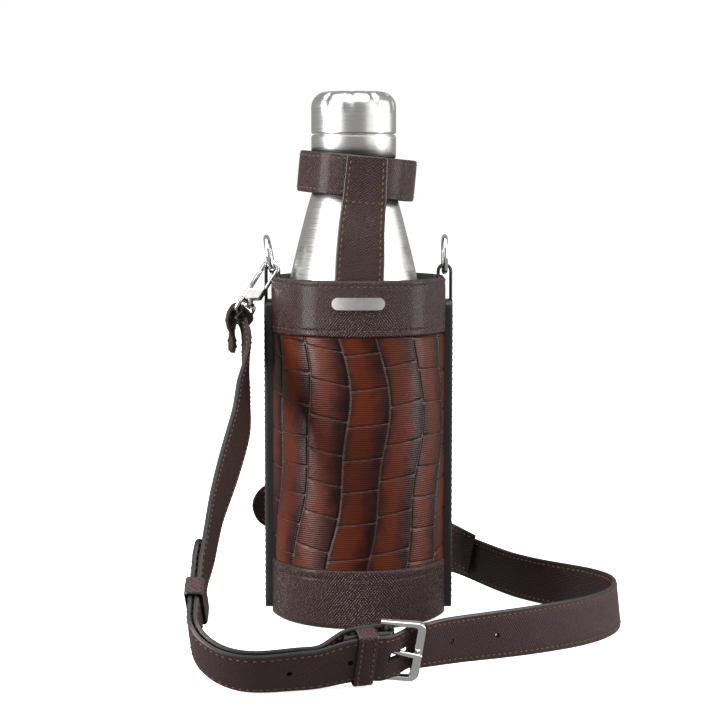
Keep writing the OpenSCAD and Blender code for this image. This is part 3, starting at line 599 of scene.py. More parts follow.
@dataclass
class Wardrobe:
    """All finishes of the carrier, each made once."""

    band: bpy.types.Material = field(init=False)
    strap: bpy.types.Material = field(init=False)
    back: bpy.types.Material = field(init=False)
    scales: bpy.types.Material = field(init=False)
    edge: bpy.types.Material = field(init=False)
    thread: bpy.types.Material = field(init=False)
    dark_thread: bpy.types.Material = field(init=False)
    lining: bpy.types.Material = field(init=False)
    board: bpy.types.Material = field(init=False)
    steel: bpy.types.Material = field(init=False)
    polished: bpy.types.Material = field(init=False)
    satin: bpy.types.Material = field(init=False)
    rubber: bpy.types.Material = field(init=False)
    plug: bpy.types.Material = field(init=False)

    def __post_init__(self) -> None:
        """Make every finish."""
        self.band = GrainedLeather("Band_leather", (0.0185, 0.0042, 0.0036), (0.056, 0.0190, 0.0170), rough=0.30, depth=0.0005,
                                   coat=0.14, shine=0.3).make()
        self.strap = GrainedLeather("Strap_leather", (0.0320, 0.0120, 0.0122), (0.070, 0.0320, 0.0320), coat=0.04, rough=0.46, depth=0.00024).make()
        self.back = GrainedLeather("Strap_back_leather", (0.0150, 0.0036, 0.0034), (0.030, 0.0092, 0.0088), pitch=0.0016,
                                   rough=0.55, coat=0.05, slant=70).make()
        self.scales = ScaleLeather("Scale_leather").make()
        self.edge = Plain("Edge_paint", (0.012, 0.009, 0.009), 0.4).make()
        self.thread = Plain("Tan_thread", (0.13, 0.062, 0.033), 0.7, 3500, 0.0001).make()
        self.dark_thread = Plain("Brown_thread", (0.085, 0.053, 0.043), 0.7, 3500, 0.0001).make()
        self.lining = Twill("Lining_cloth").make()
        self.board = Plain("Core_board", (0.03, 0.02, 0.017), 0.8).make()
        self.steel = Brushed("Brushed_steel").make()
        self.polished = Brushed("Polished_nickel", (0.80, 0.79, 0.78), 0.09, (900.0, 900.0, 900.0)).make()
        self.satin = Brushed("Satin_nickel", (0.62, 0.61, 0.59), 0.36, (700.0, 2400.0, 700.0)).make()
        self.rubber = Plain("Gasket_rubber", (0.55, 0.55, 0.52), 0.5).make()
        self.plug = Plain("Plug_moulding", (0.07, 0.07, 0.073), 0.5).make()

    def strap_set(self) -> list[bpy.types.Material]:
        """Finishes of a strap in the order of its faces."""
        return [self.strap, self.edge, self.back]


def dress_node(nodes: dict, name: str, finish: bpy.types.Material) -> None:
    """Give a carried-over CAD part its finish."""
    thing = nodes[name]
    for slot in thing.material_slots:
        slot.material = finish
    if not thing.material_slots:
        thing.data.materials.append(finish)
    LOG.info("%s: dressed", name)


# ------------------------------------------------------------------ camera and studio


@dataclass
class Studio:
    """Pale floor, wide soft lamps and the camera."""

    eye: tuple[float, float, float] = (0.0008, -1.0, 0.229)
    dip: float = 5.65
    lens: float = 98.5
    sky: float = 0.36

    def build(self) -> None:
        """Make the camera first, then the floor and the lamps."""
        lens = bpy.data.cameras.new("Camera")
        lens.lens, lens.sensor_width, lens.clip_start = self.lens, 36.0, 0.01
        camera = bpy.data.objects.new("Camera", lens)
        camera.location = self.eye
        camera.rotation_euler = (math.radians(90 - self.dip), 0, 0)
        bpy.context.scene.collection.objects.link(camera)
        bpy.context.scene.camera = camera
        bpy.context.scene.view_settings.view_transform = "Standard"
        self.sky_light()
        self.floor()
        self.lamp("Soft_box_left", -58, (1.3, 1.1), 1.2, 0.40, 6.0)
        self.lamp("Soft_box_right", 78, (2.2, 1.1), 1.2, 0.40, 8.0)
        self.lamp("Strip_left", -66, (0.34, 0.9), 1.05, 0.38, 15.0)
        self.lamp("Strip_right", 82, (0.34, 0.9), 1.05, 0.38, 7.0)
        self.lamp("Overhead", 0, (2.0, 1.6), 0.35, 1.5, 34.0)

    def sky_light(self) -> None:
        """White surroundings to the eye, at a lower level for the light they give."""
        world = bpy.data.worlds.new("Studio")
        world.use_nodes = True
        tree = world.node_tree
        path = tree.nodes.new("ShaderNodeLightPath")
        level = tree.nodes.new("ShaderNodeMapRange")
        tree.links.new(path.outputs["Is Camera Ray"], level.inputs[0])
        level.inputs[3].default_value, level.inputs[4].default_value = self.sky, 1.02
        tree.nodes["Background"].inputs[0].default_value = (1, 1, 1, 1)
        tree.links.new(level.outputs[0], tree.nodes["Background"].inputs[1])
        bpy.context.scene.world = world

    def floor(self) -> None:
        """A wide pale floor, plain enough to leave only a contact shadow."""
        n = Nodes("Floor_paper")
        tone = n.noise(n.coords.outputs["Object"], 3.0, 1.0)
        n.feed(n.shader.inputs["Base Color"], n.blend(tone, (0.93, 0.93, 0.93, 1), (0.95, 0.95, 0.95, 1)))
        n.shader.inputs["Roughness"].default_value = 0.9
        n.shader.inputs["Emission Color"].default_value = (1, 1, 1, 1)
        n.shader.inputs["Emission Strength"].default_value = 0.78
        mesh = bpy.data.meshes.new("Floor")
        mesh.from_pydata([(-6, -3, 0), (6, -3, 0), (6, 9, 0), (-6, 9, 0)], [], [(0, 1, 2, 3)])
        mesh.materials.append(n.material)
        floor = bpy.data.objects.new("Floor", mesh)
        floor.visible_glossy = floor.visible_diffuse = False
        bpy.context.scene.collection.objects.link(floor)

    def lamp(self, name: str, round_by: float, size: tuple[float, float], away: float, high: float,
             power: float) -> None:
        """A wide soft lamp aimed at the middle of the carrier.

        Args:
            name: Name of the lamp.
            round_by: Degrees round the carrier from its front, to the right.
            size: Width and height in metres.
            away: Distance from the carrier's axis.
            high: Height in metres.
            power: Power in watts.
        """
        light = bpy.data.lights.new(name, "AREA")
        light.shape, light.size, light.size_y, light.energy = "RECTANGLE", *size, power
        thing = bpy.data.objects.new(name, light)
        angle = math.radians(round_by)
        place = np.array([away * math.sin(angle), -away * math.cos(angle), high])
        way = unit(np.array([0, 0, 0.14]) - place)
        thing.location = place
        thing.rotation_euler = (math.acos(-way[2]), 0, math.atan2(way[1], way[0]) - math.pi / 2)
        bpy.context.scene.collection.objects.link(thing)


# ------------------------------------------------------------------ snap hooks and buckle


@dataclass
class Hook:
    """A swivel snap hook in its own frame: Z towards its arch, X across its block, Y along its loop's bars."""

    label: str
    foot: tuple[float, float, float]
    turn: tuple[float, float, float]
    body: str
    gate_body: str
    loop_body: str
    wire: float = 1.1
    high: float = 23.5
    block: tuple[float, float, float] = (9.6, 5.2, 7.0)
    slant: float = 5.6
    loop_wire: float = 1.2
    loop_drop: float = 6.5
    loop_half: float = 12.35
    arch_bend: float = 3.0
    post: float = 1.7
    matrix: Array = field(init=False)
    pieces: list[bpy.types.Object] = field(default_factory=list)

    def __post_init__(self) -> None:
        """Work out the frame's matrix."""
        self.matrix = turn_matrix(self.turn)

    def placed(self, points: Array) -> Array:
        """Points of the hook's frame in millimetres, carried to the row frame in metres."""
        return (np.asarray(points, float) @ self.matrix.T + np.array(self.foot)) * MM

    def way(self, v: Sequence[float]) -> Array:
        """A direction of the hook's frame in the row frame."""
        return self.matrix @ np.array(v, float)

    @property
    def bar(self) -> Array:
        """Middle of the lower bar of the strap loop, in millimetres."""
        return np.array(self.foot) - self.way((0, 0, 1)) * (self.loop_wire + 0.5 + self.loop_drop)

    def build(self, finishes: Wardrobe) -> None:
        """Make the block with its arch, the gate and the strap loop."""
        self.make_body(finishes)
        self.make_gate(finishes)
        self.make_loop(finishes)

    def make_body(self, finishes: Wardrobe) -> None:
        """The slanted block, the arch of bent wire with its nose, and the rivet of the swivel."""
        s = Surface()
        w, d, h = self.block[0] / 2, self.block[1] / 2, self.block[2]
        rise = self.slant / 2
        outline = np.array([[-w, -rise], [w, rise], [w, h + rise], [-w, h - rise]])
        middle, steps = outline.mean(0), 24
        t = np.linspace(-1, 1, 7)
        walls = []
        for y in t:
            inset = 1 - 0.16 * max(0.0, abs(y) - 0.6) / 0.4
            ring = []
            for k in range(4):
                a, b = outline[k], outline[(k + 1) % 4]
                q = np.linspace(0, 1, steps // 4, endpoint=False)[:, None]
                ring.append(a * (1 - q) + b * q)
            ring = np.vstack(ring)
            dist = np.abs((ring - middle) / np.array([w, h / 2 + rise])).max(1, keepdims=True)
            ring = middle + (ring - middle) * inset * (1 - 0.05 * (dist > 0.97))
            walls.append(np.column_stack([ring[:, 0], np.full(len(ring), y * d), ring[:, 1]]))
        s.grid(self.placed(np.array(walls)), around=True, ends=True, slots=1)
        ax = w - 1.2
        top = self.high - self.wire
        bend = self.arch_bend
        gate_top = self.high - 8.2
        arch = np.vstack([
            [[ax, 0, h - 1], [ax, 0, h + 4]],
            arc(np.array([ax - bend, 0, top - bend]), np.array([bend, 0, 0]), np.array([0, 0, bend]), 90, 10),
            arc(np.array([bend - ax, 0, top - bend]), np.array([0, 0, bend]), np.array([-bend, 0, 0]), 90, 10),
            [[-ax, 0, top - bend - 1], [-ax, 0, gate_top + 0.3]]])
        rod(s, self.placed(arch), self.wire * MM, 16)
        low = -2 * self.loop_wire - 0.5 - 0.3 - 0.8
        rod(s, self.placed(np.array([[0, 0, low], [0, 0, low + 0.4], [0, 0, low + 0.8], [0, 0, 0.5]])),
            np.array([self.post + 0.5, self.post + 0.9, self.post, self.post]) * MM, 24)
        self.pieces.append(s.piece(f"{self.label}_arch", [finishes.polished, finishes.satin], self.body,
                                   [f"hook_{self.label}_body"], bevel=0.0003))

    def make_gate(self, finishes: Wardrobe) -> None:
        """The sprung gate: a rod with a domed end at its top and a rounded foot."""
        s = Surface()
        ax = self.block[0] / 2 - 1.2
        low = self.block[2] - self.slant / 2 - 1.4
        gate_top = self.high - 8.2
        z = np.array([low - 0.9, low - 0.5, low + 1, gate_top - 0.6, gate_top - 0.2, gate_top])
        r = np.array([0.5, 0.95, 1.0, 1.0, 0.85, 0.5]) * self.wire
        rod(s, self.placed(np.column_stack([np.full(6, -ax), np.zeros(6), z])), r * MM, 16)
        self.pieces.append(s.piece(f"{self.label}_gate", [finishes.polished], self.gate_body, [f"hook_{self.label}_gate"]))

    def make_loop(self, finishes: Wardrobe) -> None:
        """The strap loop: one bent wire with rounded corners, and the boss of the swivel."""
        s = Surface()
        top, edge, bend = -self.loop_wire - 0.5, self.loop_half + self.loop_wire, 2.2
        low = top - self.loop_drop
        bits = []
        for y, z, start in ((1, top, 0), (-1, top, 90), (-1, low, 180), (1, low, 270)):
            centre = np.array([0, y * (edge - bend), z - bend if z == top else z + bend])
            t = np.radians(np.linspace(start, start + 90, 8))[:, None]
            bits.append(centre + bend * np.hstack([np.zeros_like(t), np.cos(t), np.sin(t)]))
        path = np.vstack(bits)
        rod(s, self.placed(path), self.loop_wire * MM, 16, closed=True)
        profile = np.array([[1.85, -1.1], [2.9, -1.1], [3.2, -0.8], [3.2, 0.8], [2.9, 1.1], [1.85, 1.1]])
        angle = np.arange(32) * 2 * math.pi / 32
        boss = np.stack([np.cos(angle)[:, None] * profile[:, 0], np.sin(angle)[:, None] * profile[:, 0],
                         np.broadcast_to(profile[:, 1] + top, (32, 6))], -1)
        s.grid(self.placed(boss), around=True, along=True)
        self.pieces.append(s.piece(f"{self.label}_loop", [finishes.polished], self.loop_body, [f"hook_{self.label}_loop"]))


@dataclass
class Buckle:
    """The buckle's frame, its pivot bar and its prong."""

    strap_w: float = 23.5
    outer_bar: tuple[float, float, float] = (26.4, -145.2, 14.8)
    bar_w: float = 4.0
    side_bar: float = 2.3
    bar_t: float = 3.4
    long: float = 16.0
    pivot_r: float = 1.7
    prong_r: float = 1.25
    f: Array = field(default_factory=lambda: unit([0.96, 0.1, -0.1]))
    u: Array = field(init=False)
    n: Array = field(init=False)
    pivot: Array = field(init=False)

    def __post_init__(self) -> None:
        """Work out the axes: f along the frame, u up its bars, n outward."""
        self.u = unit(np.cross(np.cross(self.f, [0.14, -0.33, 0.93]), self.f))
        self.n = np.cross(self.f, self.u)
        self.pivot = np.array(self.outer_bar) - self.f * self.long

    def placed(self, points: Array) -> Array:
        """Points along (f, u, n) from the pivot, in millimetres, carried to the row frame in metres."""
        axes = np.stack([self.f, self.u, self.n])
        return (np.asarray(points, float) @ axes + self.pivot) * MM

    def spot(self, along: float, out: float) -> Array:
        """A place in millimetres from the pivot, along the frame and outward from it."""
        return self.pivot + self.f * along + self.n * out

    def build(self, finishes: Wardrobe) -> None:
        """Make the frame as a rounded square section carried round it, the pivot, and the prong."""
        s = Surface()
        half, back, front, corner = self.strap_w / 2 + 1.2 + self.side_bar, -self.pivot_r - 0.8, self.long + self.bar_w / 2, 4.0
        t = np.radians(np.linspace(0, 90, 10))
        outer = np.vstack([
            [[back, -half]],
            np.column_stack([front - corner + corner * np.sin(t), -half + corner - corner * np.cos(t)]),
            np.column_stack([front - corner + corner * np.cos(t), half - corner + corner * np.sin(t)]),
            [[back, half]]])
        inx, iny = self.long - self.bar_w / 2, half - self.side_bar
        small = 1.2
        inner = np.vstack([
            [[back, -iny]],
            np.column_stack([inx - small + small * np.sin(t), -iny + small - small * np.cos(t)]),
            np.column_stack([inx - small + small * np.cos(t), iny - small + small * np.sin(t)]),
            [[back, iny]]])
        q = np.array([[0.16, 1], [0.84, 1], [1, 0.84], [1, -0.84], [0.84, -1], [0.16, -1], [0, -0.84], [0, 0.84]])
        q = np.array([[0.0, 0.62], [0.06, 0.84], [0.2, 0.98], [0.5, 1.0], [0.8, 0.98], [0.94, 0.84], [1, 0.62],
                      [1, -0.62], [0.94, -0.84], [0.8, -0.98], [0.2, -0.98], [0.06, -0.84], [0, -0.62]])
        flat = inner[:, None] * (1 - q[None, :, :1]) + outer[:, None] * q[None, :, :1]
        high = np.broadcast_to(q[None, :, 1:] * self.bar_t / 2, (*flat.shape[:2], 1))
        s.grid(self.placed(np.concatenate([flat, high], -1)), around=True, ends=True)
        bar = half - self.side_bar / 2
        rod(s, self.placed(np.array([[0, -bar, 0], [0, 0, 0], [0, bar, 0]])), self.pivot_r * MM, 24)
        s.piece("Buckle_frame", [finishes.polished], "carrier", ["buckle_frame"])
        self.build_prong(finishes)

    def build_prong(self, finishes: Wardrobe) -> None:
        """The prong: an eye round the pivot and a straight slanted bar that narrows to its tip."""
        s = Surface()
        rest = self.bar_t / 2 + self.prong_r + 0.4
        reach = self.long + self.bar_w / 2 - 0.6
        rise = math.asin(rest / (self.long - self.bar_w / 2))
        start, end = self.pivot_r + 0.8, reach / math.cos(rise)
        a = np.array([start, start + 1.5, end * 0.5, end - 2, end - 0.6, end])
        r = np.array([0.9, 0.97, 0.98, 0.96, 0.85, 0.5]) * self.prong_r
        rod(s, self.placed(np.column_stack([a * math.cos(rise), np.zeros(6), a * math.sin(rise)])), r * MM, 20)
        profile = np.array([[1.78, -1.2], [2.8, -1.2], [3.0, -0.9], [3.0, 0.9], [2.8, 1.2], [1.78, 1.2]])
        angle = np.arange(32) * 2 * math.pi / 32
        eye = np.stack([np.cos(angle)[:, None] * profile[:, 0], np.broadcast_to(profile[:, 1], (32, 6)),
                        np.sin(angle)[:, None] * profile[:, 0]], -1)
        s.grid(self.placed(eye), around=True, along=True)
        s.piece("Buckle_prong", [finishes.polished], "prong", ["buckle_prong"])


# ------------------------------------------------------------------ shoulder strap


@dataclass
class ShoulderStrap:
    """The short strap with the buckle, the long strap with the hole row, the guard tab and the keepers."""

    near: Hook
    far: Hook
    buckle: Buckle
    wide: float = 23.5
    thick: float = 2.4
    gap: float = 0.3
    keeper_w: float = 9.0
    keeper_t: float = 1.1
    holes: tuple[float, ...] = (101.0, 128.6, 183.8, 211.4)

    @staticmethod
    def stations(rows: Sequence[Sequence[float]]) -> Array:
        """Rows of place and width direction, the direction at length one."""
        rows = np.array(rows, float)
        rows[:, 3:] = unit(rows[:, 3:])
        return rows

    def smooth_run(self, rows: Sequence[Sequence[float]] | Array, steps: int = 2) -> Array:
        """Stations made smooth, their width directions at length one."""
        return self.stations(smooth(self.stations(rows), steps))

    def wrap(self, centre: Array, r: float, start: Array, over: Array, u: Array, steps: int = 6) -> Array:
        """Half turn of strap round a bar: centre + r (start cos t + over sin t)."""
        t = np.radians(np.linspace(0, 180, steps + 1))[:, None]
        return np.hstack([centre + r * (start * np.cos(t) + over * np.sin(t)), np.broadcast_to(u, (steps + 1, 3))])

    def moved(self, rows: Array, d: float) -> Array:
        """Stations moved outward by a distance: outward is travel x width."""
        travel = unit(np.vstack([rows[1:, :3], rows[-1:, :3]]) - np.vstack([rows[:1, :3], rows[:-1, :3]]))
        out = unit(np.cross(travel, rows[:, 3:]))
        return np.hstack([rows[:, :3] + out * d, rows[:, 3:]])

    def routes(self) -> tuple[Array, Array, Array, Array, Array]:
        """Stations of the short strap, the long strap, the guard tab, the stack and the lead, in millimetres."""
        near, far, b = self.near, self.far, self.buckle
        t, g = self.thick, self.gap
        nx, nu, na = near.way((1, 0, 0)), -near.way((0, 1, 0)), near.way((0, 0, 1))
        fx, fu, fa = far.way((1, 0, 0)), -far.way((0, 1, 0)), far.way((0, 0, 1))
        nb, fb, wrap_r = near.bar, far.bar, 1.2 + 0.25 + t / 2
        stack = self.smooth_run([
            [-71.6, -137, 38.5, -0.02, -0.72, 0.69], [-72.2, -148.5, 26.5, -0.02, -0.68, 0.73],
            [-70.5, -154.5, 21.2, 0, -0.64, 0.77], [-66.3, -159, 16.9, 0, -0.62, 0.79],
            [-59.6, -163.2, 13.5, 0, -0.6, 0.8], [-50.7, -166.2, 11.6, 0, -0.58, 0.81],
            [-39, -166, 11.2, 0.02, -0.57, 0.82], [-17.3, -159.6, 11.6, 0.1, -0.5, 0.86]])
        step = (t + g) / 2
        under = -(b.bar_t / 2 + g + t / 2)
        inner = b.pivot_r + 0.25 + t / 2
        over = inner + t + g
        fold = unit(np.cross(np.cross(b.u, [0.95, 0.32, 0]), b.u))
        fold_out = np.cross(fold, b.u)
        fold_at = b.pivot - b.u * 0.8
        lead = self.stations([[-5.5, -157.8, 13.1, 0.12, -0.42, 0.9], [3.8, -155.2, 14.1, 0.14, -0.38, 0.915],
                              [*(fold_at + fold_out * (over + 0.1)), *b.u]])
        depth = 4 * step + self.keeper_t + 1.6
        join = lambda p, u: [*p, *u]
        short = np.vstack([
            self.stations([join(nb + [-5.2, 1, -19], [0.22, -0.9, 0.2]), join(nb + [-4.6, 0.5, -11], [0.12, -0.9, 0.2]),
                           join(nb - nx * 2 - na * 5, nu)]),
            self.wrap(nb, wrap_r, -nx, na, nu),
            [join(nb + nx * 2.3 - na * 4, nu)],
            self.smooth_run([
                join(nb + [1.2, -3.4, -9], [0.1, -0.87, 0.45]), [-55.7, -22, 137.5, 0.19, -0.8, 0.57],
                [-55, -33, 127, 0, -0.74, 0.67], [-55.9, -45, 117, -0.18, -0.68, 0.71],
                [-56.6, -58, 105, -0.26, -0.65, 0.72], [-61.3, -78, 87, -0.25, -0.63, 0.74],
                [-65.7, -98, 71, -0.14, -0.64, 0.76], [-67.8, -117, 56.5, -0.1, -0.66, 0.75],
                [-69.6, -128, 47.6, -0.05, -0.7, 0.71]]),
            self.moved(stack, -step),
            self.moved(lead, 0.6 - depth)[:1], self.moved(lead, -depth)[1:2],
            self.wrap(fold_at, inner, -fold_out, fold, b.u),
            self.moved(lead, -2 * step)[[1, 0]]])
        long = np.vstack([
            self.smooth_run([[-71, -118, 57.5, -0.04, -0.67, 0.74], [-72.5, -128, 48.2, -0.04, -0.7, 0.71]]),
            self.moved(stack, step),
            self.smooth_run([
                *lead.tolist(), join(b.spot(8.6, 0.3) - b.u * 0.4, b.u),
                join(b.spot(b.long - b.bar_w * 0.75, under - 0.2) + b.u * 0.2, b.u),
                join(b.spot(b.long + b.bar_w / 2, under - 0.5) + b.u, b.u),
                [37.5, -132.8, 16.2, 0.1, -0.25, 0.96], [50.5, -121.5, 15.2, 0.1, -0.18, 0.97],
                [76.5, -102.8, 13.8, 0.05, -0.08, 1], [103, -81, 12.7, 0, 0, 1], [119.5, -60, 11.9, -0.04, 0.01, 1],
                [127.5, -41, 11.9, -0.1, 0.01, 1], [128, -22, 11.9, -0.1, -0.02, 1], [118, -4, 11.9, -0.05, -0.06, 1],
                [98, 14, 11.9, 0, 0, 1], [82, 34, 12, 0, 0, 1], [68, 58, 13, -0.03, 0.04, 1],
                [53, 77, 15.5, -0.12, 0.03, 1], [35, 84, 17.5, -0.2, 0, 0.97], join([20, 83, 18.6], fu),
                join(fb - fx * wrap_r - fa * 6, fu)]),
            self.wrap(fb, wrap_r, -fx, fa, fu),
            [join(fb + fx * 1.7 - fa * 7, fu), join(fb + fx * 1.9 - fa * 16, fu)]])
        tab = self.smooth_run([
            [62, 61.5, 17, -0.06, 0.04, 1], [47, 75.5, 22, -0.16, 0.04, 1], [27, 77, 25.5, -0.22, 0, 1],
            [2, 71, 33, -0.22, 0, 1], [-24, 61, 40.5, -0.18, 0, 1], [-45, 50.5, 46, -0.14, 0, 1],
            [-56.5, 43.5, 48.8, -0.12, 0, 1]], 3)
        return short, long, tab, stack, lead

    def track(self, rows: Array, steps: int = 3) -> Track:
        """A fine track in metres through stations in millimetres."""
        keep = np.concatenate([[True], np.linalg.norm(np.diff(rows[:, :3], axis=0), axis=1) > 0.2])
        fine = self.smooth_run(rows[keep], steps)
        return Track(fine[:, :3] * MM, fine[:, 3:])

    def build(self, finishes: Wardrobe) -> None:
        short, long, tab, stack, lead = self.routes()
        self.make_short(finishes, self.track(short))
        self.make_long(finishes, self.track(long))
        self.make_tab(finishes, self.track(tab))
        travel = unit(stack[1, :3] - stack[0, :3])
        out = unit(np.cross(travel, stack[0, 3:]))
        self.make_keeper(finishes, "Sliding_keeper", "sliding_keeper", "sliding_keeper",
                         stack[0, :3] + travel * 3, travel, np.cross(out, travel), 1.6, True)
        middle = self.moved(lead, -(self.thick + self.gap) / 2)
        along = unit(middle[2, :3] - middle[0, :3])
        out = unit(np.cross(along, middle[1, 3:]))
        self.make_keeper(finishes, "Fixed_keeper", "fixed_keeper", "carrier",
                         middle[1, :3] - along, along, np.cross(out, along), 1.4, False)

    def stitched(self, finishes: Wardrobe, name: str, track: Track, start: float, end: float,
                 faces: Sequence[int] = (1, -1)) -> bpy.types.Object:
        """Two rows of thread along the edges of a strap, on its outer face and its inner face."""
        s = Surface()
        lift = self.thick * MM / 2 - 0.0001
        for side in faces:
            sew_rows(s, track, (-self.wide * MM / 2 + 0.0023, self.wide * MM / 2 - 0.0023), side * lift, start, end)
        return s.piece(name, [finishes.thread], "carrier")

    def make_short(self, finishes: Wardrobe, track: Track) -> None:
        """The short strap, folded round the near hook's loop at one end and the buckle's pivot at the other."""
        s = Surface()
        wide = np.full(len(track.place), self.wide * MM)
        wide *= np.clip(0.45 + track.length / 0.010, 0.45, 1.0)
        sweep_strap(s, track, wide, self.thick * MM)
        strap = s.piece("Short_strap", finishes.strap_set(), "carrier", ["strap_short"])
        self.cut(strap, self.slot_box(-3.8, 7.2, -4.2, 6.2))
        sewn = self.stitched(finishes, "Short_strap_thread", track, 0.004, track.total() - 0.03)
        tuple(self.near.bar * MM)

    def make_long(self, finishes: Wardrobe, track: Track) -> None:
        """The long strap with its punched holes, from its tail tip to the fold round the far hook's loop."""
        s = Surface()
        wide = np.full(len(track.place), self.wide * MM)
        tip = track.length
        wide *= np.clip(np.sqrt(np.clip(1 - (1 - tip / 0.009) ** 2, 0.05, 1)) * (tip < 0.009) + (tip >= 0.009), 0.3, 1)
        sweep_strap(s, track, wide, self.thick * MM)
        strap = s.piece("Long_strap", finishes.strap_set(), "carrier", ["strap_long"])
        cutters = []
        for at in self.holes:
            place, travel, width, out = (row[0] for row in track.at(np.array([at * MM])))
            cutters.append((place - out * 0.004, place + out * 0.004))
        self.cut(strap, self.slot_box(2.5, 11.0, -4.0, 8.0))
        for low, high in cutters:
            c = Surface()
            rod(c, np.stack([low, (low + high) / 2, high]), 0.0013, 20)
            self.cut(strap, c)
        sewn = self.stitched(finishes, "Long_strap_thread", track, 0.006, track.total() - 0.004)

    def slot_box(self, low: float, high: float, under: float, over: float) -> Surface:
        """A box along the buckle's frame that clears the prong."""
        c = Surface()
        h = self.buckle.prong_r + 0.8
        ring = np.array([[-h, under], [h, under], [h, over], [-h, over]])
        rows = np.stack([np.column_stack([np.full(4, x), ring]) for x in (low, high)])
        c.grid(self.buckle.placed(rows), around=True, ends=True)
        return c

    def cut(self, thing: bpy.types.Object, cutter: Surface) -> None:
        """Take a closed shape out of a piece and keep the result as its mesh."""
        mesh = bpy.data.meshes.new("Cutter")
        mesh.from_pydata(np.vstack(cutter.verts).tolist(), [], cutter.faces)
        work = bmesh.new()
        work.from_mesh(mesh)
        bmesh.ops.recalc_face_normals(work, faces=work.faces)
        work.to_mesh(mesh)
        work.free()
        tool = bpy.data.objects.new("Cutter", mesh)
        bpy.context.scene.collection.objects.link(tool)
        mod = thing.modifiers.new("Cut", "BOOLEAN")
        mod.operation, mod.object, mod.solver = "DIFFERENCE", tool, "EXACT"
        bpy.context.view_layer.update()
        made = bpy.data.meshes.new_from_object(thing.evaluated_get(bpy.context.evaluated_depsgraph_get()))
        thing.modifiers.remove(mod)
        if len(made.polygons) > 50:
            old, thing.data = thing.data, made
            bpy.data.meshes.remove(old)
        bpy.data.objects.remove(tool)

    def make_tab(self, finishes: Wardrobe, track: Track) -> None:
        """The guard tab behind the sleeve, rounded at its free end."""
        s = Surface()
        half = self.wide * MM / 2
        rest = track.total() - track.length
        wide = np.where(rest >= half, 2 * half, 2 * half * np.sqrt(np.clip(1 - (1 - rest / half) ** 2, 0.03, 1)))
        thick = self.thick * 0.6 * MM
        sweep_strap(s, track, wide, thick, 1)
        s.piece("Guard_tab", finishes.strap_set(), "carrier", ["strap_guard_tab"])
        t = Surface()
        for side in (1, -1):
            sew_rows(t, track, (-half + 0.0023, half - 0.0023), side * (thick / 2 - 0.0001), 0.004, track.total() - half)
            angle = np.radians(np.arange(-80, 81, 18))
            place, travel, width, out = (row[0] for row in track.at(np.array([track.total() - half])))
            r = half - 0.0023
            spots = place + travel * (np.cos(angle) * r)[:, None] + width * (np.sin(angle) * r)[:, None] + out * side * (thick / 2 - 0.0001)
            ways = -travel * np.sin(angle)[:, None] + width * np.cos(angle)[:, None]
            sew(t, spots, ways, np.broadcast_to(out * side, spots.shape))
        t.piece("Guard_tab_thread", [finishes.thread], "carrier")

    def make_keeper(self, finishes: Wardrobe, name: str, node: str, body: str, at: Array, along: Array,
                    across: Array, slack: float, crossed: bool) -> None:
        """A leather band round the strap layers, with rounded corners and its own thread.

        Args:
            finishes: The finishes.
            name: Name of the piece.
            node: CAD node that it replaces.
            body: Body that it rides on.
            at: Middle of the keeper in millimetres.
            along: Direction of the strap.
            across: Direction of the strap's width.
            slack: Room between the layers and the band.
            crossed: The threads cross instead of running in two lines.
        """
        out = unit(np.cross(along, across))
        a = (self.wide + 1.6 + self.keeper_t) / 2
        b = (2 * self.thick + self.gap + slack + self.keeper_t) / 2
        r = 1.5
        bits = [np.array([[sx * (a - r), sy * (b - r)]]) + r * np.column_stack([np.cos(t), np.sin(t)])
                for sx, sy, t in ((1, 1, np.radians(np.linspace(0, 90, 7))), (-1, 1, np.radians(np.linspace(90, 180, 7))),
                                  (-1, -1, np.radians(np.linspace(180, 270, 7))), (1, -1, np.radians(np.linspace(270, 360, 7))))]
        ring = np.vstack([bits[0], np.column_stack([np.linspace(a - r, r - a, 12)[1:-1], np.full(10, b)]), bits[1], bits[2],
                          np.column_stack([np.linspace(r - a, a - r, 12)[1:-1], np.full(10, -b)]), bits[3]])
        place = (at + ring[:, :1] * across + ring[:, 1:] * out) * MM
        guide = np.broadcast_to(along, place.shape)
        track = Track(place, guide.copy(), True)
        if float(np.mean(np.sum(track.out * (place - at * MM), 1))) < 0:
            track = Track(place, -guide, True)
        s = Surface()
        sweep_strap(s, track, self.keeper_w * MM, self.keeper_t * MM, 1, closed=True)
        s.piece(name, finishes.strap_set(), body, [node])
        t = Surface()
        w = self.keeper_w / 2 - 1.6
        if crossed:
            for sign in (-1, 1):
                y = np.arange(-a + 3, a - 2, 3.6)
                spots = (at + across * y[:, None] + out * (b + self.keeper_t / 2 - 0.08)) * MM
                way = unit(across + along * 0.8 * sign)
                sew(t, spots, np.broadcast_to(way, spots.shape), np.broadcast_to(out, spots.shape), 0.0038)
        else:
            for sign in (-1, 1):
                for face in (1, -1):
                    y = np.arange(-a + 2, a - 1, 3.0)
                    spots = (at + across * y[:, None] + along * w * sign + out * face * (b + self.keeper_t / 2 - 0.08)) * MM
                    sew(t, spots, np.broadcast_to(across, spots.shape), np.broadcast_to(out * face, spots.shape))
        t.piece(name + "_thread", [finishes.thread], body)


# ------------------------------------------------------------------ sleeve


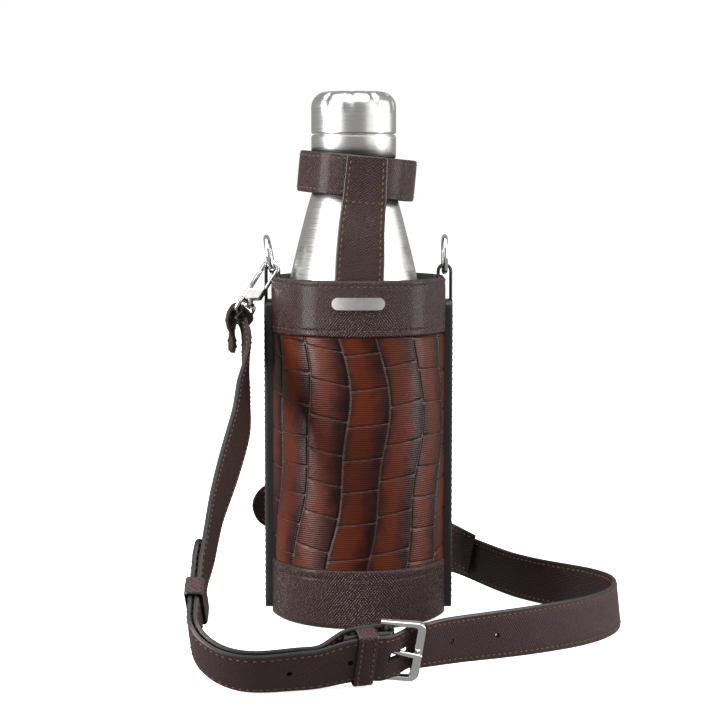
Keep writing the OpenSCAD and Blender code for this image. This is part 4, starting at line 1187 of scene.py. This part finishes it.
@dataclass
class Sleeve:
    """The round leather sleeve: bands, scale panels, side straps, lining and nameplate."""

    radius: float = 43.2
    high: float = 173.0
    top_band: float = 28.0
    base_band: float = 30.0
    band_t: float = 1.9
    panel_t: float = 1.2
    seam: float = 12.0
    column: float = 19.5
    row: float = 16.6

    def build(self, finishes: Wardrobe, nodes: dict) -> None:
        """Make the front and the back alike, then the side straps, and dress the rest."""
        for side, turn in (("front", 180.0), ("back", 0.0)):
            self.band(finishes, f"Top_band_{side}", f"top_band_{side}", turn, self.high - self.top_band, self.high, True)
            self.band(finishes, f"Base_band_{side}", f"base_band_{side}", turn, 1.25, self.base_band, False)
            self.panel(finishes, side, turn)
        for name, side in (("left", -1), ("right", 1)):
            self.side_strap(finishes, name, side)
        dress_node(nodes, "sleeve_lining", finishes.lining)
        dress_node(nodes, "sleeve_core", finishes.board)
        dress_node(nodes, "sleeve_foot", finishes.edge)
        dress_node(nodes, "nameplate", finishes.satin)

    def wrapped(self, turn: float, x: Array, r: Array, z: Array) -> Array:
        """Cylinder points in metres: angle x / radius from the middle of one half, radius r, height z."""
        angle = math.radians(turn + 90) + x / self.radius
        return np.stack([r * np.cos(angle), r * np.sin(angle), z], -1) * MM

    def span(self) -> float:
        """Half the arc of one half of the sleeve, in millimetres."""
        return self.radius * math.radians(90 - self.seam)

    def band(self, finishes: Wardrobe, name: str, node: str, turn: float, low: float, high: float, sewn: bool) -> None:
        """A leather band with folded edges; its ends are rounded at the corners, and stitches run near its edges.

        The section runs up the outside: the radius grows from the core to the full thickness along a quarter
        round at each edge, and sinks slightly where the threads pull.
        """
        s = Surface()
        span = self.span()
        x = np.linspace(-span, span, 181)
        t = np.radians(np.linspace(0, 90, 7))
        roll = 1.3
        base = self.radius + 0.06
        full = self.band_t - 0.1
        zs = np.concatenate([low + roll - roll * np.cos(t), np.linspace(low + roll, high - roll, 46)[1:-1], high - roll + roll * np.sin(t)])
        thick = np.concatenate([full * np.sin(t) ** 0.8, np.full(44, full), full * np.cos(t) ** 0.8])
        for at in ((low + 3.2), (high - 3.2)):
            thick -= (0.22 if sewn else 0.0) * np.exp(-((zs - at) / 0.7) ** 2) * (thick > 0.5)
        if not sewn:
            thick += 0.1 * np.exp(-((zs - (high - 2.4)) / 1.0) ** 2) - 0.18 * np.exp(-((zs - (high - 4.6)) / 0.6) ** 2)
        outer_r = base + thick
        corner = np.clip((np.abs(x) - (span - 3.0)) / 3.0, 0, 1)
        drop = 3.0 * (1 - np.sqrt(np.clip(1 - corner**2, 0, 1)))
        share = (zs - low) / (high - low)
        z = low + drop[:, None] * (1 - share)[None] * (1.0 if sewn else 0.0) + (high - low) * share[None] * np.ones_like(x)[:, None]
        z = np.minimum(z, high)
        edge = np.sqrt(np.clip(1 - np.clip((np.abs(x) - (span - 0.9)) / 0.9, 0, 0.98) ** 2, 0, 1))
        r = base + (outer_r - base)[None] * edge[:, None]
        front = self.wrapped(turn, x[:, None], r, z)
        back = self.wrapped(turn, x[:, None], np.full_like(r, base), z)[:, ::-1]
        ring = np.concatenate([front, back], 1)
        uv = np.stack(np.broadcast_arrays(x[:, None] * MM, np.concatenate([z, z[:, ::-1]], 1) * MM), -1)
        uv = np.concatenate([uv, uv[:, :1]], 1)
        uv = np.concatenate([uv, uv[-1:]], 0)
        s.grid(ring, uv, around=True, ends=True)
        s.piece(name, [finishes.band], "carrier", [node])
        if sewn:
            t_s = Surface()
            for at in (low + 3.2, high - 3.2):
                xs = np.arange(-span + 3, span - 2.5, 3.1)
                place = self.wrapped(turn, xs, np.full_like(xs, base + full - 0.15), np.full_like(xs, at))
                out = unit(place * [1, 1, 0])
                sew(t_s, place, unit(np.cross([0.0, 0.0, 1.0], out)), out)
            t_s.piece(name + "_thread", [finishes.dark_thread], "carrier")

    def scales(self, x: Array, z: Array, seed: int) -> tuple[Array, Array, Array]:
        """Lay out scales: leaning columns, each cut into rows at its own heights.

        A column's edge wanders with height by two slow sines. Within a column the row edges lean and their
        heights shift by the column's own amounts.

        Args:
            x: Distances round the sleeve in millimetres.
            z: Heights in millimetres.
            seed: Number that fixes the layout.

        Returns:
            Distance to the nearest groove in metres, place across the scale from 0 to 1, and the scale's own value.
        """
        luck = np.random.default_rng(seed)
        lean = luck.uniform(-0.6, 0.6, 64)
        shift = luck.uniform(0, 1, 64)
        tall = luck.uniform(0.9, 1.12, 64)
        wander = 5.2 * np.sin(z / 27.0 + 0.8) + 1.5 * np.sin(z / 11.0 + x / 24.0)
        c = (x + wander + 400) / self.column
        i = np.floor(c).astype(int)
        u = c - i
        sway = lean[i % 64] * 0.36 * (u - 0.5) + 0.05 * np.sin(z / 12.0)
        v = (z / (self.row * tall[i % 64])) + shift[i % 64] * 0.35 + i * 0.08 + sway
        j = np.floor(v).astype(int)
        w = v - j
        across = np.minimum(u, 1 - u) * self.column
        up = np.minimum(w, 1 - w) * self.row
        k = 0.35
        near = -k * np.log(np.exp(-across / k) + np.exp(-up / k) + 1e-9)
        near = np.clip(near, 0, None)
        own = luck.uniform(0, 1, (64, 64))[i % 64, j % 64]
        return near * MM, u, own

    def panel(self, finishes: Wardrobe, side: str, turn: float) -> None:
        """One half of the embossed panel: scales raised from their grooves by a soft step, then a low dome."""
        s = Surface()
        span = self.span()
        x, z = np.meshgrid(np.linspace(-span, span, 330), np.linspace(self.base_band + 0.05, self.high - self.top_band - 0.05, 270), indexing="ij")
        edge, inside, own = self.scales(x, z, 7 if side == "front" else 23)
        lift = np.clip(edge / MM / 0.9, 0, 1)
        height = 0.42 * lift * lift * (3 - 2 * lift) + 0.16 * np.clip(edge / MM / 7.0, 0, 1)
        base = self.radius + 0.06
        r = base + 0.5 + height
        front = self.wrapped(turn, x, r, z)
        uv = np.stack([x, z], -1) * MM
        m, n = x.shape
        rim = [front[:, :1] * 1.0, front[:, -1:] * 1.0]
        s.grid(front, uv, edge=edge, inside=inside, own=own)
        back_x, back_z = np.meshgrid(np.linspace(-span, span, 330), np.array([self.high - self.top_band - 0.05, self.base_band + 0.05]), indexing="ij")
        back = self.wrapped(turn, back_x, np.full(back_x.shape, base), back_z)
        walls = np.concatenate([rim[1], back[:, :1], back[:, 1:], rim[0]], 1)
        none = np.full((330, 4), 0.02)
        s.grid(walls, np.zeros((331, 5, 2)), edge=none, inside=none, own=none)
        for k in (0, -1):
            strip = np.stack([front[k], np.linspace(back[k, 1], back[k, 0], n)], 0)
            flat = np.full((2, n), 0.02)
            s.grid(strip, np.zeros((3, n + 1, 2)), edge=flat, inside=flat, own=flat)
        s.piece(f"Scale_panel_{side}", [finishes.scales], "carrier", [f"panel_{side}"])

    def side_strap(self, finishes: Wardrobe, name: str, side: int) -> None:
        """A padded strip up the side seam that narrows to a loop over the rim, where a ring hangs."""
        eye_x, eye_z, eye_r, t = self.radius + 0.5, self.high + 2.5, 2.4, 1.6
        mid = eye_r + t / 2
        theta = np.radians(np.linspace(0, 180, 17))
        rows = np.vstack([
            np.column_stack([np.full(10, eye_x + mid), np.linspace(eye_z - 14, eye_z - 0.3, 10)]),
            np.column_stack([eye_x + mid * np.cos(theta), eye_z + mid * np.sin(theta)]),
            [[eye_x - mid, eye_z - 2.1]]])
        place = np.column_stack([rows[:, 0] * side, np.zeros(len(rows)), rows[:, 1]]) * MM
        s = Surface()
        track = Track(place, np.tile([0.0, 1.0 * side, 0.0], (len(rows), 1)))
        sweep_strap(s, track, 0.005, t * MM, 1)
        tail = np.column_stack([np.full(6, 38.2 * side + 0.0), np.zeros(6), np.linspace(eye_z - 2.0, eye_z - 14, 6)]) * MM
        lower = Track(tail + np.array([1.98 * side * MM, 0, 0]), np.tile([0.0, 1.0 * side, 0.0], (6, 1)))
        sweep_strap(s, lower, 0.005, t * MM, 1)
        pad_out = eye_x + eye_r + t - 0.05
        inner = self.radius + 0.06
        z = np.concatenate([3.2 + 4 * (1 - np.cos(np.radians(np.linspace(0, 90, 9)))), np.linspace(7.2, eye_z - 18, 90)[1:],
                            eye_z - 18 + 3.8 * np.sin(np.radians(np.linspace(0, 90, 9)))[1:]])
        wide = np.concatenate([8 - 4 * (1 - np.sin(np.radians(np.linspace(0, 90, 9)))), np.full(89, 8.0),
                               8 - 4.5 * (1 - np.cos(np.radians(np.linspace(0, 90, 9))))[1:]])
        q = np.array([[0, -1], [0.55, -1], [0.8, -0.985], [0.95, -0.95], [1.0, -0.86], [1.0, -0.5], [1.0, 0], [1.0, 0.5],
                      [1.0, 0.86], [0.95, 0.95], [0.8, 0.985], [0.55, 1], [0, 1]])
        kinds = np.array([1, 1, 1, 1, 0, 0, 0, 0, 1, 1, 1, 1, 1])
        points = np.stack(np.broadcast_arrays(side * (inner + (pad_out - inner) * q[None, :, 0]), wide[:, None] * q[None, :, 1], z[:, None]), -1) * MM
        uv = np.stack(np.broadcast_arrays(z[:, None] * MM, (wide[:, None] * q[None, :, 1]) * MM), -1)
        uv = np.concatenate([uv, uv[:, :1]], 1)
        uv = np.concatenate([uv, uv[-1:]], 0)
        s.grid(points, uv, around=True, slots=kinds, ends=True)
        s.piece(f"Side_strap_{name}", finishes.strap_set(), "carrier", [f"side_strap_{name}"])
        t_s = Surface()
        zs = np.arange(9, eye_z - 20, 3.2)
        for y in (-5.6, 5.6):
            spots = np.column_stack([np.full(len(zs), side * (pad_out - 0.08)), np.full(len(zs), y), zs]) * MM
            sew(t_s, spots, np.tile([0.0, 0, 1], (len(zs), 1)), np.tile([1.0 * side, 0, 0], (len(zs), 1)))
        t_s.piece(f"Side_strap_{name}_thread", [finishes.thread], "carrier")


# ------------------------------------------------------------------ bottle, collar and rings


@dataclass
class Bottle:
    """The steel bottle and its cap."""

    shift: float = -2.4
    floor: float = 4.5
    body_r: float = 36.0
    neck_r: float = 19.0
    cap_r: float = 21.4
    mouth_r: float = 16.5
    cap_h: float = 21.5
    high: float = 261.5
    flutes: int = 10

    def build(self, finishes: Wardrobe, nodes: dict) -> None:
        """Make the bottle in one closed turned shape, then the fluted cap and its plug."""
        seam = self.high - self.cap_h
        shoulder, waist, ring = seam - 102, seam - 21, seam - 12
        mixed = lambda s: self.body_r * (1 - s) + self.neck_r * s
        outer = smooth(np.array([
            [self.body_r, shoulder - 12], [self.body_r, shoulder], [self.body_r - 1.6, shoulder + 18],
            [mixed(0.33), shoulder + 38], [mixed(0.72), shoulder + 64], [self.neck_r + 0.5, waist - 3], [self.neck_r, waist + 3]]), 8)
        inner = smooth(np.array([
            [self.body_r - 3.8, shoulder - 12], [self.body_r - 3.8, shoulder], [self.body_r - 5.4, shoulder + 18],
            [mixed(0.33) - 3.4, shoulder + 38], [mixed(0.72) - 2.7, shoulder + 64], [self.mouth_r - 0.6, waist - 3], [self.mouth_r, waist + 8]]), 6)
        profile = np.vstack([
            [[0, 1.2], [self.body_r - 7, 1.2], [self.body_r - 7, 0], [self.body_r - 2.8, 0], [self.body_r - 1.2, 0.5],
             [self.body_r - 0.3, 1.5], [self.body_r, 3]], outer,
            [[self.neck_r + 0.4, ring - 1.4], [self.cap_r - 0.5, ring], [self.cap_r, ring + 0.6], [self.cap_r, seam - 1.3],
             [self.cap_r - 0.5, seam - 0.8], [self.cap_r - 0.5, seam - 0.35], [self.mouth_r + 0.4, seam - 0.35], [self.mouth_r, seam - 0.8]],
            inner[::-1], [[self.body_r - 3.8, 12], [self.body_r - 5.8, 8.8], [self.body_r - 7.8, 8], [0, 8]]])
        s = Surface()
        lathe(s, profile * MM, (self.shift * MM, 0, self.floor * MM), 160)
        s.piece("Steel_bottle", [finishes.steel], "bottle", ["bottle_shell", "bottle_flask", "bottle_base"])
        self.cap(finishes, seam)
        dress_node(nodes, "cap_gasket", finishes.rubber)
        dress_node(nodes, "cap_plug", finishes.plug)

    def cap(self, finishes: Wardrobe, seam: float) -> None:
        """The cap: a domed turned shell whose crown is sunk by shallow flutes.

        The radius falls by a cosine of the angle times the number of flutes, more towards the crown.
        """
        top, rnd, steps = self.cap_h - 0.25, 8.0, 240
        a = np.radians(np.linspace(0, 90, 24))
        wall = np.linspace(0.8, top - rnd, 16)[:-1]
        outer = np.vstack([np.column_stack([np.full(15, self.cap_r), wall]),
                           np.column_stack([self.cap_r - rnd + rnd * np.cos(a), top - rnd + rnd * np.sin(a)]),
                           np.column_stack([np.linspace(self.cap_r - rnd, 0, 8)[1:], np.full(7, top)])])
        profile = np.vstack([[[self.cap_r - 2.9, 7], [self.cap_r - 2.9, 0.25], [self.cap_r - 0.5, 0.25]], outer])
        profile = np.vstack([[[0, 7.3]], profile])
        angle = np.arange(steps) * 2 * math.pi / steps
        r = np.broadcast_to(profile[:, 0], (steps, len(profile)))
        z = np.broadcast_to(profile[:, 1], r.shape)
        share = np.clip((z - (top - 12)) / 9, 0, 1) * np.clip((r - 7) / 9, 0, 1) * (r > self.cap_r - 14)
        wave = np.clip(np.cos(self.flutes * (angle - 0.22)), 0.0, 1) ** 2
        r = r - 0.85 * wave[:, None] * share
        z = z - 0.5 * wave[:, None] * share * (r < self.cap_r - 3)
        points = np.stack([r * np.cos(angle)[:, None] + self.shift, r * np.sin(angle)[:, None], z + seam + self.floor], -1) * MM
        s = Surface()
        s.grid(points, np.zeros((steps + 1, len(profile) + 1, 2)), along=True)
        s.piece("Cap", [finishes.steel], "cap", ["cap_shell"])


@dataclass
class Collar:
    """The neck collar and the two straps that hold it to the sleeve."""

    radius: float = 29.7
    thick: float = 2.8
    high: float = 20.6
    centre: float = 223.6
    tilt: float = 5.4
    strap_w: tuple[float, float] = (20.0, 24.0)
    strap_t: float = 2.0
    inner_r: float = 41.0

    def build(self, finishes: Wardrobe) -> None:
        """Make the collar, its thread, and a strap at the front and one at the back."""
        turn = turn_matrix((0, self.tilt, 0))
        rows, kinds = strap_section(self.high * MM, self.thick * MM, 3)
        profile = np.column_stack([rows[:, 1] + (self.radius - self.thick / 2) * MM, rows[:, 0]])
        s = Surface()
        at = np.array([-0.8, 0, self.centre]) * MM
        lathe(s, profile, at, 160, kinds, turn, closed=True)
        s.piece("Neck_collar", [finishes.band, finishes.edge, finishes.back], "collar", ["neck_collar"])
        t = Surface()
        angle = np.arange(0, 2 * math.pi, 3.1 / self.radius)
        out = np.stack([np.cos(angle), np.sin(angle), 0 * angle], -1)
        way = np.stack([-np.sin(angle), np.cos(angle), 0 * angle], -1)
        for level in (-1, 1):
            place = out * (self.radius - 0.12) + np.array([0, 0, level * (self.high / 2 - 2.3)])
            sew(t, place @ turn.T * MM + at, way @ turn.T, out @ turn.T)
        t.piece("Neck_collar_thread", [finishes.thread], "collar")
        for name, side in (("front", 1), ("back", -1)):
            self.strap(finishes, name, side)

    def strap(self, finishes: Wardrobe, name: str, side: int) -> None:
        """One strap from the collar's upper edge down into the sleeve, widening on its way."""
        reach = math.sqrt((self.inner_r - 0.4) ** 2 - (self.strap_w[1] / 2) ** 2) - self.strap_t / 2
        top = (self.radius + 0.5 + self.strap_t / 2, self.high / 2 + self.centre - 1)
        rim = 173.0
        lay = lambda s, a, b: a * (1 - s) + b * s
        rows = ShoulderStrap.stations([
            [4.5, -top[0], top[1], 1, 0, 0.1], [3, -top[0], self.centre - self.high / 2 - 1, 1, 0, 0.08],
            [1.5, lay(0.55, -top[0], -reach), lay(0.55, self.centre, rim), 1, 0, 0.04],
            [0.6, -reach + 0.6, rim + 4, 1, 0, 0], [0.4, -reach, rim - 4, 1, 0, 0], [0.4, -reach, rim - 20, 1, 0, 0]])
        fine = ShoulderStrap.stations(smooth(rows, 10))
        place = fine[:, :3] * [1, side, 1]
        width = fine[:, 3:] * [side, 1, side]
        track = Track(place * MM, width)
        share = np.clip(1.6 * track.length / track.total(), 0, 1)
        wide = (self.strap_w[0] * (1 - share) + self.strap_w[1] * share) * MM
        s = Surface()
        sweep_strap(s, track, wide, self.strap_t * MM)
        s.piece(f"Neck_strap_{name}", [finishes.band, finishes.edge, finishes.back], "collar", [f"neck_strap_{name}"])
        t = Surface()
        spots = np.arange(0.003, track.total() - 0.012, 0.0032)
        place, travel, across, out = track.at(spots)
        sign = float(np.sign(np.sum(out[0] * [0, -side, 0])))
        half = np.interp(spots, track.length, wide) / 2 - 0.0021
        for row in (-1, 1):
            sew(t, place + across * (half * row)[:, None] + out * sign * (self.strap_t / 2 * MM - 0.0001), travel, out * sign)
        place, travel, across, out = track.at(np.array([0.0225]))
        cross = np.arange(-8.4, 8.5, 3.2) * MM
        spots = place + across * cross[:, None] + out * sign * (self.strap_t / 2 * MM - 0.0001)
        sew(t, spots, np.broadcast_to(across, spots.shape), np.broadcast_to(out * sign, spots.shape))
        t.piece(f"Neck_strap_{name}_thread", [finishes.thread], "collar")


@dataclass
class Ring:
    """A ring of round wire in a side loop."""

    side: int
    lean: float
    body: str
    outer: float = 10.2
    wire: float = 1.5

    def build(self, finishes: Wardrobe) -> None:
        """Carry a circle round a circle, then lean it about the loop's axis."""
        t = np.arange(96) * 2 * math.pi / 96
        r = self.outer - self.wire
        flat = np.column_stack([np.zeros(96), r * np.cos(t), r * np.sin(t) + r - 0.2])
        path = flat @ turn_matrix((0, self.lean, 0)).T + np.array([self.side * 43.7, 0, 175.5])
        s = Surface()
        rod(s, path * MM, (self.wire - 0.02) * MM, 20, closed=True)
        name = "left" if self.side < 0 else "right"
        s.piece(f"Side_ring_{name}", [finishes.polished], self.body, [f"ring_{name}"])


def main() -> None:
    """Build the studio, the cords first, then every sub-assembly."""
    logging.basicConfig(level=logging.INFO, format="%(message)s")
    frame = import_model()
    Studio().build()
    finishes = Wardrobe()
    near = Hook("near", (-54.6, -7.4, 161.1), (-17.7, 28.6, -18.9), "hook_near", "gate_near", "carrier")
    far = Hook("far", (-3, 80, 17.5), (-105, 0, 95), "hook_far", "gate_far", "carrier")
    buckle = Buckle()
    for hook in (near, far):
        hook.build(finishes)
    buckle.build(finishes)
    ShoulderStrap(near, far, buckle).build(finishes)
    Sleeve().build(finishes, frame["nodes"])
    Bottle().build(finishes, frame["nodes"])
    Collar().build(finishes)
    Ring(-1, -10.0, "ring_left").build(finishes)
    Ring(1, 0.0, "ring_right").build(finishes)


if __name__ == "__main__":
    main()
